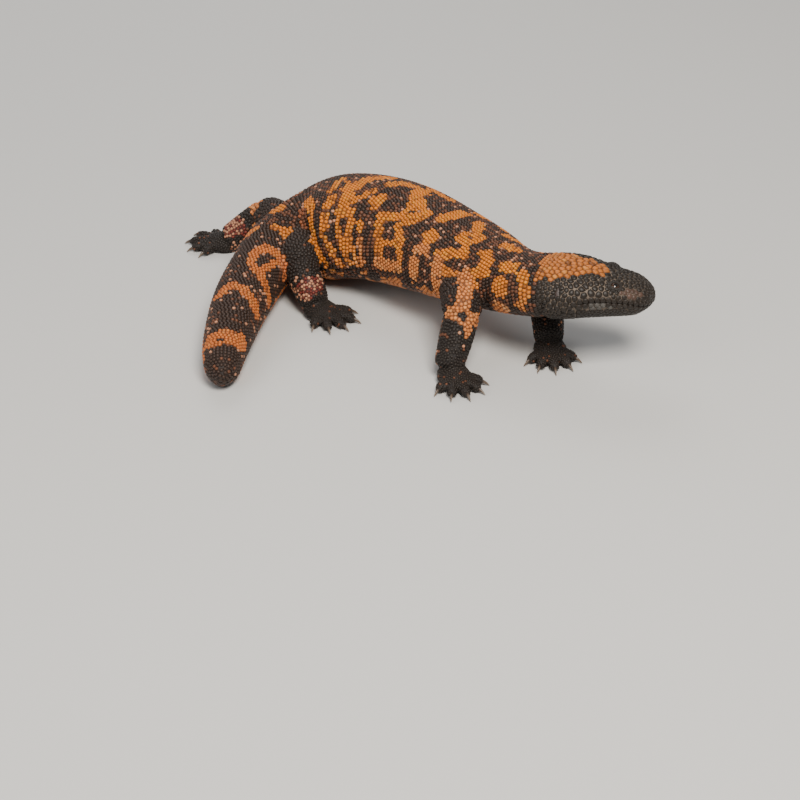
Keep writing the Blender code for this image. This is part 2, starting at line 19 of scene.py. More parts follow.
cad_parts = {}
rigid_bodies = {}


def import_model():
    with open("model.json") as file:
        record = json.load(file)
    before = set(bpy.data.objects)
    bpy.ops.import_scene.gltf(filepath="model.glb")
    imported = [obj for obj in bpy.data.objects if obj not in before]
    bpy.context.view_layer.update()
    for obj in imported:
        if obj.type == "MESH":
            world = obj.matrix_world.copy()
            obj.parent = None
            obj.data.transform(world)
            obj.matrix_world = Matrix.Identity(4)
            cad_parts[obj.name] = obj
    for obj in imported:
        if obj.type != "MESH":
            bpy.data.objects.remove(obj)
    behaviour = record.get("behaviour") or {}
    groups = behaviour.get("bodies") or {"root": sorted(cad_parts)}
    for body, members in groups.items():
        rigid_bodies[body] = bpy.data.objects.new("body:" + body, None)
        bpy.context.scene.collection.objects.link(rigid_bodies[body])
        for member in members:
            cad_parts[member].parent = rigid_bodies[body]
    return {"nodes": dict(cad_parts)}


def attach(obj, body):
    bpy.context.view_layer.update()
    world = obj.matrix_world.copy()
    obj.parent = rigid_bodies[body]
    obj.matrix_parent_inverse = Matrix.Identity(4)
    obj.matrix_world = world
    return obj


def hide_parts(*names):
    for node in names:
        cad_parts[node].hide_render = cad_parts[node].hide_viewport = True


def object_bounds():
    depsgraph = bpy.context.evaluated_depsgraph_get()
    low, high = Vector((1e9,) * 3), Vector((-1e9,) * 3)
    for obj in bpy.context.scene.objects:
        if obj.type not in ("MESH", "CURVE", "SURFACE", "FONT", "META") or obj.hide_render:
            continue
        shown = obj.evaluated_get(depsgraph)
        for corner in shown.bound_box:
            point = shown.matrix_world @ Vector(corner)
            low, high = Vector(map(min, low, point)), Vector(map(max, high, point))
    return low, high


for old in list(bpy.data.objects):
    bpy.data.objects.remove(old)
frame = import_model()
SOLID_BOX = [list(corner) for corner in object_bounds()]
MM = 0.001
MIDDLE = np.array([14.0, -48.7, 0.0])  # middle of the floor plan that the sizes below are given on, mm
MARGIN = 0.01  # how far every piece stays inside the solids' box, mm
BOX_LOW, BOX_HIGH = np.array(SOLID_BOX) / MM + MIDDLE + [[MARGIN], [-MARGIN]]
TURN = 2 * math.pi
RANDOM = np.random.default_rng(11)
print("nodes:", len(frame["nodes"]), "box in mm:", np.round(np.array(SOLID_BOX) / MM, 1).tolist())

# %% [markdown]
# ## The line of the back
# Head, trunk and tail are one long tube along a bent line. The rows below give the line's place and the
# tube's half width, height above and depth below it. A natural cubic spline joins the rows, which is the
# curve a thin springy ruler would take through them, so no ring shows where one row ends.

# %% The rows and the spline
BODY_ROWS = np.array([
    (159.5, -112.0, 46.8, 12.5, 7.5, 11.0),  # snout
    (152.0, -112.4, 49.3, 15.0, 8.2, 13.5),
    (137.0, -112.6, 52.3, 18.7, 9.7, 16.5),  # eyes
    (120.0, -110.8, 54.0, 24.0, 12.0, 18.5),
    (104.0, -107.0, 53.0, 26.5, 13.5, 19.5),  # angle of the jaw
    (93.0, -102.5, 51.0, 24.5, 14.2, 20.0),
    (82.0, -95.0, 48.0, 22.5, 16.2, 20.5),  # neck
    (62.0, -72.5, 43.5, 28.5, 21.0, 22.5),  # shoulders
    (34.0, -38.0, 38.5, 35.5, 27.0, 25.5),
    (6.0, -8.0, 34.0, 40.0, 31.5, 27.5),  # widest part of the trunk
    (-18.5, 5.2, 31.5, 41.0, 32.0, 28.5),
    (-38.5, 10.0, 28.8, 36.0, 28.0, 30.0),
    (-50.0, 10.4, 26.5, 28.0, 22.5, 28.0),  # hips
    (-58.0, 7.0, 24.8, 22.5, 20.5, 26.0),
    (-68.0, -2.0, 22.0, 19.5, 18.8, 23.0),
    (-76.5, -24.0, 20.5, 18.3, 18.0, 22.0),  # root of the tail
    (-86.5, -63.0, 18.5, 17.3, 17.0, 20.0),
    (-93.0, -105.0, 16.0, 14.5, 14.0, 17.5),
    (-95.0, -129.0, 13.5, 12.0, 11.5, 15.0),
    (-94.5, -148.0, 11.0, 8.5, 8.5, 12.5),  # tip of the tail
])
SNOUT_ROUND, TAIL_ROUND = 13.0, 15.0  # lengths over which the two ends round off
BODY_SQUARE = 2.2  # superellipse exponent of a section: 2 is an ellipse, more is squarer
BODY_LOOK = 12.0  # how far to each side of a ring its facing is measured
THINNEST = 0.05  # least half size of a ring


def natural_curve(rows):
    """Value at a length t: between two rows, a cubic whose bend changes evenly from one row's to the next's.
    The bends come from one set of equations that makes the slopes meet, with no bend at the two ends."""
    knots = np.concatenate([[0.0], np.cumsum(np.linalg.norm(np.diff(rows[:, :3], axis=0), axis=1))])
    gaps, size = np.diff(knots), len(rows)
    slopes = np.diff(rows, axis=0) / gaps[:, None]
    system, right = np.eye(size), np.zeros(rows.shape)
    for i in range(1, size - 1):
        system[i, i - 1 : i + 2] = gaps[i - 1], 2 * (gaps[i - 1] + gaps[i]), gaps[i]
        right[i] = 6 * (slopes[i] - slopes[i - 1])
    bends = np.linalg.solve(system, right)

    def at(t):
        t = np.asarray(t, float)
        i = np.clip(np.searchsorted(knots, t, side="right") - 1, 0, size - 2)
        h, a, b = gaps[i][:, None], (knots[i + 1] - t)[:, None], (t - knots[i])[:, None]
        return (bends[i] * a**3 + bends[i + 1] * b**3) / (6 * h) + (
            (rows[i] / h - bends[i] * h / 6) * a + (rows[i + 1] / h - bends[i + 1] * h / 6) * b
        )

    return at, knots[-1]


def unit(vectors):
    """Vectors divided by their lengths."""
    return vectors / np.linalg.norm(vectors, axis=-1, keepdims=True)


class Tube:
    """A bent, tapered tube. A ring stands at right angles to the line. Its point at an angle from the top
    is the line's point + right x half width x sin^(2/n) + up x height x cos^(2/n)."""

    def __init__(self, rows, square=2.0, look=1.0, ends=(0.0, 0.0)):
        self.at, self.length = natural_curve(np.asarray(rows, float))
        self.square, self.look, self.ends = square, look, ends

    def frame(self, places):
        """Middle, ahead, right and up of the rings at these places."""
        ahead = unit(self.at(places - self.look)[:, :3] - self.at(places + self.look)[:, :3])
        right = unit(np.cross(ahead, [0.0, 0.0, 1.0]))
        return self.at(places), ahead, right, np.cross(right, ahead)

    def share(self, places):
        """Share of full size: 1, and at a rounded end the height of a circle."""
        first, last = self.ends
        size = np.ones(len(places))
        if first:
            size = size * np.sqrt(1 - np.clip((first - places) / first, 0, 1) ** 2)
        if last:
            size = size * np.sqrt(1 - np.clip((last - self.length + places) / last, 0, 1) ** 2)
        return size

    def surface(self, places, degrees, sunk=0.0):
        """Points of the surface, one row for each place and one column for each angle from the top."""
        places = np.asarray(places, float)
        rows, _, right, up = self.frame(places)
        turn = np.radians(degrees)
        across = np.sign(np.sin(turn)) * np.abs(np.sin(turn)) ** (2 / self.square)
        upward = np.sign(np.cos(turn)) * np.abs(np.cos(turn)) ** (2 / self.square)
        sizes = np.maximum(rows[:, 3:6] - sunk, THINNEST) * self.share(places)[:, None]
        tall = np.where(upward > 0, sizes[:, 1:2], sizes[:, 2:3])
        wide = sizes[:, 0:1] * across
        return rows[:, None, :3] + right[:, None] * wide[..., None] + up[:, None] * (tall * upward)[..., None]


BODY = Tube(BODY_ROWS, BODY_SQUARE, BODY_LOOK, (SNOUT_ROUND, TAIL_ROUND))
print("length along the back:", round(BODY.length, 1), "mm")

# %% [markdown]
# ## Legs and toes
# A gila monster walks on short, stout legs with five blunt toes to a foot. Each leg is an upper and a
# lower tapered tube, a flattened palm and five toes, at the places that the solids have.

# %% The sizes of the legs
LEGS = {  # joint in the body, elbow or knee, wrist or ankle, and the way the foot points on the plan
    "front_right": ((46.0, -70.0, 41.0), (46.5, -111.0, 35.0), (39.0, -128.0, 11.0), -68.0),
    "front_left": ((74.0, -62.0, 41.0), (98.0, -66.0, 31.0), (99.0, -96.0, 11.0), -84.0),
    "hind_right": ((-54.0, 0.0, 26.0), (-53.0, -33.0, 25.5), (-44.0, -49.0, 10.0), -48.0),
    "hind_left": ((-60.0, 14.0, 25.0), (-77.0, 41.0, 23.0), (-99.0, 37.0, 9.0), 168.0),
}
UPPER_SIZE = {"front": (14.0, 11.0), "hind": (15.0, 12.0)}  # radius at the joint and at the elbow or knee
UPPER_PAST, UPPER_ROUND, UPPER_BULGE = 5.4, 9.0, 1.04  # past the elbow or knee, rounded end, swelling
LOWER_SIZE = {"front": (10.5, 8.8), "hind": (11.0, 8.8)}  # radius at the elbow or knee and at the wrist
LOWER_PAST, LOWER_ROUND, LOWER_BULGE = (2.0, 5.0), (5.0, 4.0), 1.05  # past the knee and the wrist
PALM = {"front": (11.0, 10.0, 6.0), "hind": (12.5, 10.0, 6.0)}  # half length, half width, half height
PALM_AHEAD = 0.55  # the palm's middle lies this share of its half length ahead of the wrist
PALM_SUNK = 1.5  # how far the palm's round underside is cut off by the floor
TOE_FAN = (-56.0, -27.0, 0.0, 27.0, 56.0)  # degrees from the middle toe, inner toe first
TOE_LONG = {"front": (10.5, 13.0, 14.0, 13.0, 10.5), "hind": (9.5, 12.5, 14.5, 15.0, 11.5)}
TOE_RADIUS = (3.1, 2.7)  # at the knuckle and at the tip
TOE_HEIGHTS = (4.6, 4.4, 2.5)  # of the toe's axis at knuckle, arch and tip
TOE_START = 0.62  # a toe starts at this share of the palm's half length
FOOT_LONG, FOOT_RADIUS = 24.0, 14.0  # the foot as one stout length, from the palm's middle on


class Leg:
    """One leg: its tubes, its palm and its toes' lines."""

    def __init__(self, name):
        joint, elbow, wrist, heading = LEGS[name]
        self.name, self.kind = name, name.split("_")[0]
        mirror = 1 if name.endswith("right") else -1
        joint, elbow, wrist = (np.array(place) for place in (joint, elbow, wrist))
        ahead, down = unit(elbow - joint), unit(wrist - elbow)
        upper_size, lower_size, palm_long = UPPER_SIZE[self.kind], LOWER_SIZE[self.kind], PALM[self.kind][0]
        self.upper = self.tube(joint, elbow + ahead * UPPER_PAST, upper_size, (0.0, UPPER_ROUND), UPPER_BULGE)
        self.lower = self.tube(elbow - down * LOWER_PAST[0], wrist + down * LOWER_PAST[1], lower_size,
                               LOWER_ROUND, LOWER_BULGE)
        self.facing = self.level(heading)
        self.palm = wrist * [1, 1, 0] + self.facing * palm_long * PALM_AHEAD
        self.toes = []  # for each toe its knuckle, arch and tip, and the way it points
        for fan, long in zip(TOE_FAN, TOE_LONG[self.kind]):
            out = self.level(heading + mirror * fan)
            spots = [self.palm + out * (palm_long * TOE_START + long * part) + [0, 0, high]
                     for part, high in zip((0.0, 0.5, 1.0), TOE_HEIGHTS)]
            self.toes.append((spots, out))
        thigh, shank = np.linalg.norm(elbow - joint), np.linalg.norm(wrist - elbow)
        self.spans = (  # start, end, length before it and mean radius of the three lengths of the leg
            (joint, elbow, 0.0, np.mean(upper_size)),
            (elbow, wrist, thigh, np.mean(lower_size)),
            (wrist, self.palm + self.facing * FOOT_LONG, thigh + shank, FOOT_RADIUS),
        )

    @staticmethod
    def level(degrees):
        """The level way at this angle on the plan."""
        return np.array([math.cos(math.radians(degrees)), math.sin(math.radians(degrees)), 0.0])

    @staticmethod
    def tube(start, end, radii, ends, bulge):
        """A straight tube, swollen a little in its middle."""
        mean = (radii[0] + radii[1]) / 2 * bulge
        spots = ((start, radii[0]), ((start + end) / 2, mean), (end, radii[1]))
        return Tube([(*p, r, r, r) for p, r in spots], ends=ends)


ALL_LEGS = [Leg(name) for name in LEGS]
print("legs:", [leg.name for leg in ALL_LEGS])

# %% [markdown]
# ## One whole skin
# The solids part the animal with thin cuts, and the real skin has none. Its tubes are laid out again with
# close rings, a little inside the solids so that the beads have room. They overlap where a leg joins the
# body. A voxel remesh keeps only the outside of the overlap as one even mesh of squares. Smoothing with
# one step in and one step out rounds the creases and leaves thin toes as thick as they were.

# %% Meshes from arrays
def ring_faces(rings, sides):
    """The squares between each ring and the next: two corners on one ring, two on the next."""
    ring, side = np.meshgrid(np.arange(rings - 1), np.arange(sides), indexing="ij")
    after = (side + 1) % sides
    corners = np.stack([ring * sides + side, (ring + 1) * sides + side, (ring + 1) * sides + after,
                        ring * sides + after], axis=-1)
    return corners.reshape(-1, 4)


def round_turns(sides):
    """The angles of the corners of a ring, in radians."""
    return np.linspace(0, TURN, sides, endpoint=False)


END_RINGS = 9  # rings on a rounded end


def closed_tube(tube, step, sides, sunk):
    """Points and faces of a tube with a ring shrunk to its middle at each end, which closes it."""
    first, last = tube.ends
    places = np.arange(0.0, tube.length, step)
    bend = np.linspace(0.0, 0.5 * math.pi, END_RINGS)
    if first:
        places = np.concatenate([first * (1 - np.cos(bend)), places[places > first]])
    end = tube.length - last * (1 - np.sin(bend)) if last else [tube.length]
    places = np.concatenate([places[places < tube.length - last], end])
    rings = tube.surface(places, np.arange(sides) * 360.0 / sides, sunk)
    caps = rings[[0, -1]].mean(axis=1, keepdims=True).repeat(sides, axis=1)
    rings = np.concatenate([caps[:1], rings, caps[1:]])
    return rings.reshape(-1, 3), ring_faces(len(rings), sides)


def ellipsoid(centre, axes, sides=32, rings=18):
    """Centre + the three half axes times the cosines and sines of a turn from pole to pole and one round."""
    rise, turn = np.linspace(0, math.pi, rings)[:, None], round_turns(sides)
    ball = np.stack([np.sin(rise) * np.cos(turn), np.sin(rise) * np.sin(turn), np.cos(rise) + 0 * turn], -1)
    return (np.asarray(centre) + ball @ np.asarray(axes)).reshape(-1, 3), ring_faces(rings, sides)


def joined(parts):
    """Several (points, faces) made one, with the later faces' corner numbers moved up."""
    starts = np.cumsum([0] + [len(points) for points, _ in parts[:-1]])
    return np.concatenate([p for p, _ in parts]), np.concatenate([f + s for (_, f), s in zip(parts, starts)])


def new_piece(name, points, faces, boxed=True):
    """A mesh object at the origin from points in plan millimetres and faces with the same number of corners.
    What lies outside the solids' box is set on its wall."""
    points = np.clip(points, BOX_LOW, BOX_HIGH) if boxed else points
    mesh = bpy.data.meshes.new(name)
    mesh.vertices.add(len(points))
    mesh.vertices.foreach_set("co", ((points - MIDDLE) * MM).astype(np.float32).ravel())
    mesh.loops.add(faces.size)
    mesh.loops.foreach_set("vertex_index", faces.astype(np.int32).ravel())
    mesh.polygons.add(len(faces))
    mesh.polygons.foreach_set("loop_start", np.arange(0, faces.size, faces.shape[1], dtype=np.int32))
    mesh.polygons.foreach_set("use_smooth", np.full(len(faces), True))
    mesh.update(calc_edges=True)
    made = bpy.data.objects.new(name, mesh)
    bpy.context.scene.collection.objects.link(made)
    return made


def points_of(mesh):
    """A mesh's points in plan millimetres."""
    flat = np.empty(len(mesh.vertices) * 3, np.float32)
    mesh.vertices.foreach_get("co", flat)
    return flat.reshape(-1, 3).astype(float) / MM + MIDDLE


# %% The skin
SKIN_SUNK, LEG_SUNK, TOE_SUNK = 0.7, 0.6, 0.35  # how far the skin of each lies inside the solids, mm
BODY_MESH, UPPER_MESH, LOWER_MESH, TOE_MESH = (1.5, 96), (1.2, 40), (1.2, 36), (0.8, 20)  # ring step, sides
TOE_ROUND = 2.2
TOE_PAD = 0.6  # how much thicker a toe is below its axis than above
TOE_FLAT = (0.9, 0.8)  # height of arch and tip above the axis, as shares of the radius
VOXEL = 1.15  # mesh size of the skin, mm
SMOOTHINGS, SMOOTH_IN, SMOOTH_OUT = 14, 0.5, -0.52
SKIN_LOWEST = 0.25  # height over the floor, mm


def flesh_parts():
    """The closed tubes and ellipsoids of the whole animal."""
    parts = [closed_tube(BODY, *BODY_MESH, SKIN_SUNK)]
    for leg in ALL_LEGS:
        for tube, mesh in ((leg.upper, UPPER_MESH), (leg.lower, LOWER_MESH)):
            parts.append(closed_tube(tube, *mesh, LEG_SUNK))
        long, wide, tall = (size - TOE_SUNK for size in PALM[leg.kind])
        side = np.array([-leg.facing[1], leg.facing[0], 0.0])
        axes = [leg.facing * long, side * wide, np.array([0.0, 0.0, tall])]
        parts.append(ellipsoid(leg.palm + [0, 0, PALM[leg.kind][2] - PALM_SUNK], axes))
        thick, thin = (radius - TOE_SUNK for radius in TOE_RADIUS)
        for (knuckle, arch, tip), _ in leg.toes:
            below = thick + TOE_PAD
            rows = [(*knuckle, thick, thick, below), (*arch, thick, thick * TOE_FLAT[0], below),
                    (*tip, thin, thin * TOE_FLAT[1], thin)]
            parts.append(closed_tube(Tube(rows, ends=(0.0, TOE_ROUND)), *TOE_MESH, 0.0))
    return parts


def summed(corners, values, count):
    """For each of count points, the sum of the values given for the corners that lie on it."""
    columns = [np.bincount(corners, weights=column, minlength=count) for column in values.T]
    return np.stack(columns, axis=1)


def neighbour_mean(values, edges, count):
    """For each point, the mean of the values at the other ends of its edges."""
    first, second = edges.T
    total = summed(first, values[second], len(values)) + summed(second, values[first], len(values))
    return total / count[:, None]


def normals_of(points, faces):
    """Outward way at each point: the sum of its faces' crossed diagonals."""
    a, b, c, d = (points[faces[:, i]] for i in range(4))
    crossed = np.cross(c - a, d - b)
    total = sum(summed(faces[:, corner], crossed, len(points)) for corner in range(4))
    return unit(total + 1e-12)


def make_skin():
    """Remeshes the joined parts and smooths them: each round takes every point half way to its neighbours'
    mean, then a little more than that back."""
    rough = new_piece("rough_skin", *joined(flesh_parts()))
    remesh = rough.modifiers.new("whole", "REMESH")
    remesh.mode = "VOXEL"
    remesh.voxel_size = VOXEL * MM
    bpy.context.view_layer.update()
    mesh = bpy.data.meshes.new_from_object(rough.evaluated_get(bpy.context.evaluated_depsgraph_get()))
    bpy.data.objects.remove(rough)
    points = points_of(mesh)
    edges = np.empty(len(mesh.edges) * 2, np.int32)
    mesh.edges.foreach_get("vertices", edges)
    edges = edges.reshape(-1, 2)
    count = np.bincount(edges.ravel(), minlength=len(points)).astype(float)
    for _ in range(SMOOTHINGS):
        for step in (SMOOTH_IN, SMOOTH_OUT):
            points += step * (neighbour_mean(points, edges, count) - points)
    points[:, 2] = np.maximum(points[:, 2], SKIN_LOWEST)
    faces = np.array([list(polygon.vertices) for polygon in mesh.polygons if len(polygon.vertices) == 4])
    assert len(faces) == len(mesh.polygons)
    bpy.data.meshes.remove(mesh)
    return points, faces, edges, count


skin_points, skin_faces, skin_edges, skin_count = make_skin()
print("skin:", len(skin_points), "points,", len(skin_faces) * 2, "triangles")

# %% [markdown]
# ## Where on the body is a point?
# Beads change in size from snout to tail, and the colours follow the body, not the room. Each point is
# therefore given its length along the back and its angle round from the top, or, if it is off the body's
# tube, its leg, its length down that leg and its angle round it.

# %% Body coordinates
AXIS_PLACES = np.arange(-4.0, BODY.length + 5.0, 1.0)
AXIS = BODY.frame(AXIS_PLACES)
OFF_BODY = 1.07  # a point more than this many times the tube's size from its line may be on a leg
LEG_FAR = 9.0  # and is, if it is nearer to the leg's line than this many times the leg's radius
FOOT_START = 0.97  # as a share of the way to the wrist or ankle
PLATES_END, HEAD_END, TAIL_START = 64.0, 66.0, 300.0  # mm from the snout
AT_ONCE = 4000  # points compared with the whole line at a time


def ring_ways(along):
    """Two ways at right angles to a leg's line, from which the angle round the leg is counted."""
    side = unit(np.cross(along, [0.3, -0.5, 0.8]))
    return side, unit(np.cross(side, along))


class Where:
    """Place of points on the body, as arrays: back (mm from the snout), round (degrees from the top, right
    side positive), off (1 on the tube's surface), leg (-1 or a number), down (mm from the leg's joint),
    turn (degrees round the leg), reach (share of the way to the wrist or ankle), ahead (way to the snout
    or to the leg's joint)."""

    def __init__(self, points):
        rows, ahead, right, up = AXIS
        nearest = np.empty(len(points), int)
        for start in range(0, len(points), AT_ONCE):
            some = points[start : start + AT_ONCE]
            gap = ((some[:, None] - rows[None, :, :3]) ** 2).sum(axis=2)
            nearest[start : start + AT_ONCE] = gap.argmin(axis=1)
        arm = points - rows[nearest, :3]
        self.back = AXIS_PLACES[nearest] - (arm * ahead[nearest]).sum(axis=1)
        wide = (arm * right[nearest]).sum(axis=1) / rows[nearest, 3]
        high = (arm * up[nearest]).sum(axis=1)
        tall = high / np.where(high > 0, rows[nearest, 4], rows[nearest, 5])
        self.round = np.degrees(np.arctan2(wide, tall))
        self.off = np.hypot(wide, tall)
        self.ahead = ahead[nearest]
        self.leg = np.full(len(points), -1)
        self.down, self.turn, self.reach = np.zeros((3, len(points)))
        best = np.full(len(points), LEG_FAR)
        for number, leg in enumerate(ALL_LEGS):
            for start, end, before, radius in leg.spans:
                along = end - start
                part = np.clip((points - start) @ along / (along @ along), 0, 1)
                way = points - start - part[:, None] * along
                ratio = np.linalg.norm(way, axis=1) / radius
                nearer = (ratio < best) & (self.off > OFF_BODY)
                best = np.where(nearer, ratio, best)
                self.leg[nearer] = number
                self.down[nearer] = before + part[nearer] * np.linalg.norm(along)
                self.reach[nearer] = self.down[nearer] / leg.spans[2][2]
                self.ahead[nearer] = -unit(along)
                side, other = ring_ways(along)
                self.turn[nearer] = np.degrees(np.arctan2(way @ side, way @ other))[nearer]
        self.on_leg = self.leg >= 0
        self.is_foot = self.on_leg & (self.reach > FOOT_START)

    def body(self, start=-np.inf, end=np.inf):
        """True for points that aren't on a leg and lie between two lengths along the back."""
        return ~self.on_leg & (self.back >= start) & (self.back < end)


skin_where = Where(skin_points)
print("skin points on legs:", int(skin_where.on_leg.sum()))

# %% [markdown]
# ## Folds of loose skin
# A lizard's skin is a size too large. It folds under the throat and in front of the shoulder, bunches into
# upright folds on the inside of the body's bend, and creases at elbows and knees. Each fold is a line on the
# body. Skin near a line is pushed in by a bell curve of its distance from it, before any bead is set, so
# that the beads follow the folds.

# %% Pressing folds into the skin
FOLDS = (  # depth and half width in mm, then places on the body along the fold
    (1.1, 1.8, (60, 95), (63, 125), (64, 180), (63, 235), (60, 265)),  # under the throat
    (1.5, 2.2, (86, 58), (90, 84), (92, 108), (95, 135)),  # in front of the shoulders
    (1.5, 2.2, (86, -58), (90, -84), (92, -108), (95, -135)),
    (1.0, 1.8, (247, 22), (248, 50), (244, 76), (236, 104), (230, 125)),  # inside of the bend
    (1.1, 1.9, (229, 32), (228, 56), (225, 76), (219, 96), (212, 120)),
    (0.8, 1.7, (203, 50), (202, 70), (199, 90), (192, 112)),
    (0.8, 1.9, (150, 66), (149, 84), (150, 112)),
    (1.0, 2.0, (262, -62), (256, -90), (248, -118)),  # behind the left flank
    (1.4, 2.0, (0, 37, -150), (0, 41, -110), (0, 41, -70)),  # elbows and knees
    (1.4, 2.0, (1, 37, -150), (1, 41, -110), (1, 41, -70)),
    (1.2, 2.0, (2, 31, -150), (2, 33, -110), (2, 33, -70)),
    (1.2, 2.0, (3, 31, -150), (3, 33, -110), (3, 33, -70)),
)


def body_spots(spots):
    """Points on the surface from (mm from the snout, degrees round) or (leg, mm down, degrees round it)."""
    found = []
    for spot in spots:
        if len(spot) == 2:
            found.append(BODY.surface([spot[0]], [spot[1]], SKIN_SUNK)[0, 0])
            continue
        start, end, before, radius = [s for s in ALL_LEGS[spot[0]].spans if spot[1] >= s[2]][-1]
        side, other = ring_ways(end - start)
        turn = math.radians(spot[2])
        middle = start + unit(end - start) * (spot[1] - before)
        found.append(middle + radius * (math.sin(turn) * side + math.cos(turn) * other))
    return np.array(found)


def line_distance(points, spots):
    """Distance of points from a line through spots: for each stretch, to its nearest place."""
    best = np.linalg.norm(points - spots[0], axis=1)
    for start, end in zip(spots[:-1], spots[1:]):
        along = end - start
        part = np.clip((points - start) @ along / (along @ along), 0, 1)
        best = np.minimum(best, np.linalg.norm(points - start - part[:, None] * along, axis=1))
    return best


def surface_line(spots, times=4):
    """Points of a line on the surface. On the body's tube, places between the given ones bend it round."""
    if len(spots[0]) == 2:
        steps = np.linspace(0, len(spots) - 1, (len(spots) - 1) * times + 1)
        spots = list(zip(*(np.interp(steps, np.arange(len(spots)), row) for row in np.array(spots, float).T)))
    return body_spots(spots)


def bell(distance, half):
    """A bell curve: 1 at no distance, exp(-1) at the half width."""
    return np.exp(-((distance / half) ** 2))


def fold_skin():
    """Sum of depth x exp(-(distance / half width)^2) over the folds, inwards."""
    outward, depth = normals_of(skin_points, skin_faces), np.zeros(len(skin_points))
    for deep, half, *spots in FOLDS:
        depth += deep * bell(line_distance(skin_points, surface_line(spots)), half)
    return skin_points - outward * depth[:, None]


skin_points = fold_skin()
print("folds:", len(FOLDS))

# %% [markdown]
# ## Eyes, ears, nostrils and mouth
# The eye is a small dark ball between two thick lids. Behind it a slanting slit opens to the ear drum, and
# the nostril lies near the tip of the snout. Points of the skin near each are pushed in. The line of the
# mouth is a groove that rises from the snout.

# %% Landmarks of the head
EYE, NOSTRIL, EAR = (26.0, 42.0), (4.5, 66.0), (53.0, 66.0)  # mm from the snout and degrees from the top
EYE_DEEP = 1.5  # how far the eye's middle lies under the skin
LID_FOOT = 4.0  # how far the lids reach from the middle of the eye
EAR_HALF = (1.6, 3.4)  # half width and half height of the ear slit
EAR_PRESS, EAR_NEAR = 2.6, 6.0  # depth of the ear's cup, and how far from its middle it ends
NOSTRIL_PRESS, NOSTRIL_HALF = 1.2, 1.2
MOUTH_PRESS, MOUTH_HALF = 1.3, 0.8
MOUTH_LINE = np.array(  # x and height, from ahead of the snout back to the mouth's corner
    [(172.0, 43.5), (158.0, 44.6), (150.0, 47.4), (141.0, 50.4), (131.0, 52.4), (121.0, 53.2), (113.0, 52.6)]
)
NO_MOUTH = 99.0
SIDES = {"right": 1, "left": -1}


def skin_spot(landmark, sign):
    """A landmark's point on one side of the body's tube, the way out there, the way ahead and the way up."""
    place, degrees = landmark[0], sign * landmark[1]
    near = BODY.surface([place - 1, place, place + 1], [degrees - 2, degrees, degrees + 2])
    point, ahead = near[1, 1], unit(near[0, 1] - near[2, 1])
    out = unit(np.cross(near[1, 2] - near[1, 0], ahead))
    if out @ (point - BODY.at(np.array([place]))[0, :3]) < 0:
        out = -out
    up = np.cross(out, ahead)
    return point, out, ahead, up if up[2] > 0 else -up


def mouth_gap(points):
    """Height of points above the line of the mouth. Behind its corner there is none."""
    gap = points[:, 2] - np.interp(points[:, 0], *MOUTH_LINE[::-1].T)
    return np.where(points[:, 0] > MOUTH_LINE[-1, 0], gap, NO_MOUTH)


def distance_from(points, landmark, sign):
    """Distance of points from a landmark on one side."""
    return np.linalg.norm(points - skin_spot(landmark, sign)[0], axis=1)


def ear_oval(points, sign, wider=0.0):
    """Square of the distance from the ear's middle, counted so that the edge of its oval is at 1."""
    spot, _, ahead, up = skin_spot(EAR, sign)
    arm = points - spot
    return ((arm @ ahead) / (EAR_HALF[0] + wider)) ** 2 + ((arm @ up) / (EAR_HALF[1] + wider)) ** 2


def press_in():
    """Moves skin points inwards by sums of bell curves round the mouth line, ears and nostrils."""
    outward = normals_of(skin_points, skin_faces)
    on_head = skin_where.body(end=HEAD_END) & (skin_where.off > 0.6)
    depth = np.where(on_head, MOUTH_PRESS * bell(mouth_gap(skin_points), MOUTH_HALF), 0.0)
    for sign in SIDES.values():
        near = distance_from(skin_points, EAR, sign) < EAR_NEAR
        depth += EAR_PRESS * bell(ear_oval(skin_points, sign), 1) * near
        depth += NOSTRIL_PRESS * bell(distance_from(skin_points, NOSTRIL, sign), NOSTRIL_HALF)
    return skin_points - outward * depth[:, None]


flat_skin = BVHTree.FromPolygons(skin_points.tolist(), skin_faces.tolist())
skin_normals = normals_of(skin_points, skin_faces)
for _ in range(3):
    skin_normals = unit(neighbour_mean(skin_normals, skin_edges, skin_count) + skin_normals)
pressed_points = press_in()
print("deepest press, mm:", round(float(np.linalg.norm(pressed_points - skin_points, axis=1).max()), 2))

# %% [markdown]
# ## The places of the beads
# Beads grow in rows across the body. Rows laid straight on a bent tube would crowd on the inside of the
# bend. So the rows are only a first guess: places that are too close are dropped, bare skin is filled with
# more, and then each place is pushed a few times by its neighbours and set back on the skin, which evens
# the gaps and keeps the rows where there is room for them.

# %% Distance between beads
BODY_STEP = ((0, 2.1), (8, 2.5), (20, 3.0), (36, 3.6), (50, 3.6), (62, 2.7), (76, 2.2), (100, 2.25),
             (200, 2.4), (400, 2.4), (431, 2.1))  # mm from the snout, distance in mm
LEG_STEP = ((0, 2.4), (0.5, 2.3), (0.85, 2.1), (1.0, 1.8), (1.25, 1.45))  # share of the way down, distance
BELLY_WIDER = 0.9
THROAT_STEP, THROAT_BELOW, THROAT_END = 2.1, -5.0, 70.0  # distance, height from the mouth, mm from the snout
FINE_STEP = 1.6  # at the landmarks of the head
FINE_REACH = ((EYE, 9.0), (EAR, 8.0), (NOSTRIL, 6.0))  # how far from each the beads are finer


def graded(places, rows):
    """Reads rows of (place, value) at places, along straight lines from each row to the next."""
    return np.interp(places, *np.array(rows, float).T)


def ramp(values, start, end):
    """0 at the start, 1 at the end and even between, whichever of them is the larger."""
    return np.clip((values - start) / (end - start), 0, 1)


